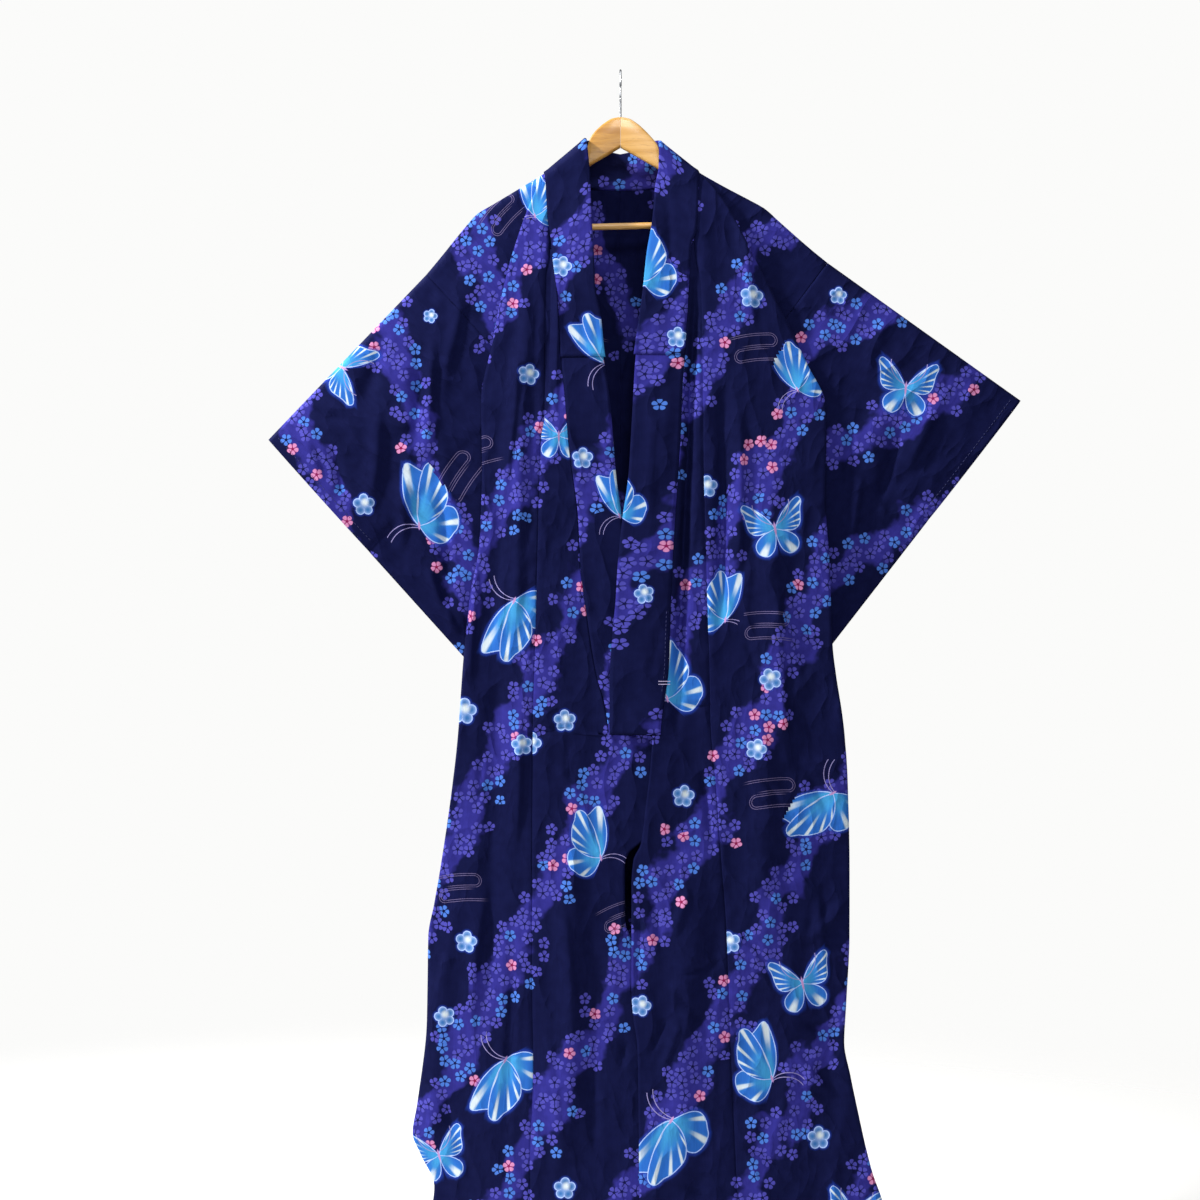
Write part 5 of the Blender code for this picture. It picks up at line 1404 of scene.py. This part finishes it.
def platedSteel():  # nickel-plated steel wire: bright, with faint drawing marks along it
    finish, tree, shader = newFinish("nickelPlatedSteelWire", {"Base Color": linear(steel["colour"]),
                                                               "Metallic": 1.0})
    place = add(tree, "ShaderNodeTexCoord").outputs["Object"]
    marks = add(tree, noiseNode, None, place, Scale=steel["markScale"], Detail=2.0)
    rough = add(tree, rangeNode, None, marks, *steel["marks"])
    tree.links.new(rough.outputs[0], shader.inputs["Roughness"])
    return finish


studio = {
    "floorZ": -1.92,
    "floorRadius": 2.7,
    "floorFade": 0.8,          # from here out the paper fades into the pale surroundings
    "paper": "#f4f3f1",
    "paperRoughness": 0.95,
    "surroundings": "#fbfbfa",
    "air": "#eef0f4",
    "ambient": 0.18,
    "cameraPlace": (-0.0315, -3.5, -0.812),
    "lens": 68.3,
}
centre, neck = (0.0, 0.0, -0.85), (0.0, 0.0, -0.35)
warm, cool, white = (1.0, 0.99, 0.97), (0.97, 0.98, 1.0), (1.0, 1.0, 1.0)
softboxes = (                  # name, place, what it aims at, width, height, watts, colour
    ("keySoftbox", (-3.0, -1.3, 1.4), centre, 0.45, 0.45, 205.0, warm),
    ("fillSoftbox", (0.4, -4.4, -0.1), centre, 1.2, 1.2, 18.0, cool),
    ("neckSoftbox", (0.1, -2.0, 0.9), neck, 0.5, 0.5, 16.0, cool),
    ("topSoftbox", (0.3, -0.4, 2.2), centre, 2.4, 2.0, 34.0, white),
    ("backSoftboxRight", (-3.0, 1.3, 1.4), centre, 0.45, 0.45, 190.0, white),
    ("backSoftboxLeft", (1.0, 3.8, 0.1), centre, 1.2, 1.2, 24.0, white),
)


def floorPaper():  # matt studio paper
    finish, tree, shader = newFinish("mattStudioPaper", {"Base Color": linear(studio["paper"]),
                                                         "Roughness": studio["paperRoughness"]})
    place = add(tree, "ShaderNodeTexCoord").outputs["Object"]
    away = add(tree, vectorNode, "DISTANCE", place, (0.0, 0.0, studio["floorZ"])).outputs["Value"]
    fade = add(tree, rangeNode, smooth, away, studio["floorFade"], studio["floorRadius"])
    shown = add(tree, "ShaderNodeMixShader", None, fade, shader, add(tree, "ShaderNodeBsdfTransparent"))
    tree.links.new(shown.outputs[0], tree.nodes["Material Output"].inputs["Surface"])
    return finish


def makeFloor():
    radius = studio["floorRadius"]
    corners = [(radius * math.cos(angle), radius * math.sin(angle), studio["floorZ"]) for angle in circle(96)]
    mesh = bpy.data.meshes.new("paperFloor")
    mesh.from_pydata(corners, [], [tuple(range(len(corners)))])
    mesh.materials.append(floorPaper())
    newObject("paperFloor", mesh)


def areaLight(name, place, aim, width, height, watts, colour):
    lamp = bpy.data.lights.new(name, "AREA")
    lamp.shape = "RECTANGLE"
    lamp.size, lamp.size_y = width, height
    lamp.energy = watts
    lamp.color = colour
    holder = newObject(name, lamp)
    holder.location = place
    holder.rotation_euler = (Vector(aim) - Vector(place)).to_track_quat("-Z", "Y").to_euler()


def makeStudio():
    makeFloor()
    for softbox in softboxes:
        areaLight(*softbox)
    world = bpy.data.worlds.new("studioAir")
    world.use_nodes = True
    tree = world.node_tree
    air = tree.nodes["Background"]
    air.inputs["Color"].default_value = linear(studio["air"])
    air.inputs["Strength"].default_value = studio["ambient"]
    pale = add(tree, "ShaderNodeBackground", None, linear(studio["surroundings"]), 1.0)
    seen = add(tree, "ShaderNodeLightPath").outputs["Is Camera Ray"]     # the surroundings look pale but light little
    mixed = add(tree, "ShaderNodeMixShader", None, seen, air, pale)
    tree.links.new(mixed.outputs[0], tree.nodes["World Output"].inputs["Surface"])
    bpy.context.scene.world = world
    bpy.context.scene.view_settings.view_transform = "Standard"
    lens = bpy.data.cameras.new("photoView")
    lens.lens = studio["lens"]
    view = newObject("photoView", lens)
    view.location = studio["cameraPlace"]
    view.rotation_euler = (math.radians(90.0), 0.0, 0.0)
    bpy.context.scene.camera = view


def finishPiece(piece, nodes):
    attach(piece, "root")
    if nodes:
        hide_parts(*nodes)


makeStudio()
print("studio made")

mist = mistGroup()
cotton = [printedCotton("printedPlainWeaveCotton", mist)]     # then one with each kind of large motif, in order
for label, drawing in (
        ("OpenButterfly", butterflyGroup("openButterfly")), ("FoldedButterfly", butterflyGroup("foldedButterfly")),
        ("PlumBlossom", plumGroup()), ("RunningWater", streamGroup())):
    cotton.append(printedCotton("printedPlainWeaveCottonWith" + label, mist, drawing))
print("materials made")

# The collars are cut double and folded along their length, so half of each shows.
seamLines = []
for side in (right, left):
    label = side["name"].capitalize()
    front, back = bodyGrid(side, True), bodyGrid(side, False)
    body = makeSheet("body" + label, (front + ("body" + label + "Front", True), back + ("back", False)),
                     cloth["thickness"], cotton)
    nodes = [f"body_{side['name']}_{face}{fold}" for face in ("front", "back") for fold in ("", "_pleat")]
    finishPiece(body, nodes + [f"body_{side['name']}_front_{part}" for part in ("top", "middle")])
    okumi = makeSheet("okumi" + label, (okumiGrid(side) + ("okumi" + label, True),), cloth["thickness"], cotton)
    finishPiece(okumi, ["okumi_" + side["name"], f"okumi_{side['name']}_top"])
    sleeveFront, sleeveBack = sleeveGrid(side, True), sleeveGrid(side, False)
    sleeve = makeSheet("sleeve" + label, (sleeveFront + ("sleeve" + label, True), sleeveBack + ("back", False)),
                       cloth["thickness"], cotton)
    finishPiece(sleeve, ["sleeve_" + side["name"]])
    above = np.array((0.0, stitches["above"], 0.0))
    opening = rowDrops(0.0, cloth["sleeveDrop"], (cloth["armhole"],)) <= cloth["armhole"]
    bare = stitches["ends"]
    for sheet, off in ((sleeveFront, -above), (sleeveBack, above)):
        seamLines.append(sheet[0][opening, -1 - stitches["fromCuff"]][bare:-bare] + off)
    hemRow = int(np.argmin(np.abs(front[0][:, 0, 2] + hemSeam))) - 1
    seamLines.append(front[0][hemRow, bare:bodyColumns["front"]] - above)
    seamLines.append(back[0][hemRow, bare:bodyColumns["back"]] + above)
print("body, overlap panels and sleeves made")

band, bandPlace, bandGrain = collarGrid()
collar = makeSheet("collarBand", ((band, bandPlace, bandGrain, "collar", True),), collarCloth["thickness"], cotton)
finishPiece(collar, ["collar"])
below = [int(np.sum(rowDrops(side["top"], cloth["collarEnd"]) > cloth["coverEnd"])) for side in (right, left)]
covered = slice(below[0], len(band) - below[1])
cover = coverGrid(band[covered], bandPlace[covered], bandGrain[covered])
overCollar = makeSheet("overCollar", (cover + ("collar", True),), collarCloth["coverThickness"], cotton)
finishPiece(overCollar, ["over_collar"])
print("collars made")

collarEnd = band[-1 - np.arange(*stitches["collarRows"])[::-1]]
above = 0.5 * collarCloth["thickness"] + stitches["aboveCollar"]
seamLines.append(collarEnd[:, stitches["fromCollarEdge"]] - np.array((0.0, above, 0.0)))
sewing, navyThread = stitchTree(), cottonThread("navyCottonThread", threads["navy"])
seams = sewLines("seamStitches", seamLines, sewing, navyThread, stitches)
finishPiece(seams, [])
tack = band[-1 - barTack["row"], 1]
tack = tack + np.array((barTack["inward"], -0.5 * collarCloth["thickness"] - barTack["above"], 0.0))
tackLines = [[tack + np.array((x, 0.0, z)) for x in (-barTack["halfWidth"], barTack["halfWidth"])]
             for z in (-barTack["halfGap"], barTack["halfGap"])]
paleThread = cottonThread("paleLilacThread", threads["lilac"])
tacks = sewLines("collarBarTack", tackLines, sewing, paleThread, barTack)
finishPiece(tacks, [])
print("sewing made")

# The right arm's beech is a darker copy of the left arm's: painted shade.
paleWood, shadedWood = beechWood("varnishedBeech", *beech["pale"]), beechWood("beechWithPaintedShade", *beech["dark"])
for side, wood in ((right, shadedWood), (left, paleWood)):
    finishPiece(hangerArm(side, wood), ["hanger_arm_" + side["name"]])
finishPiece(trouserBar(paleWood), ["trouser_bar"])
finishPiece(wireHook(platedSteel()), ["hook"])
print("hanger made")
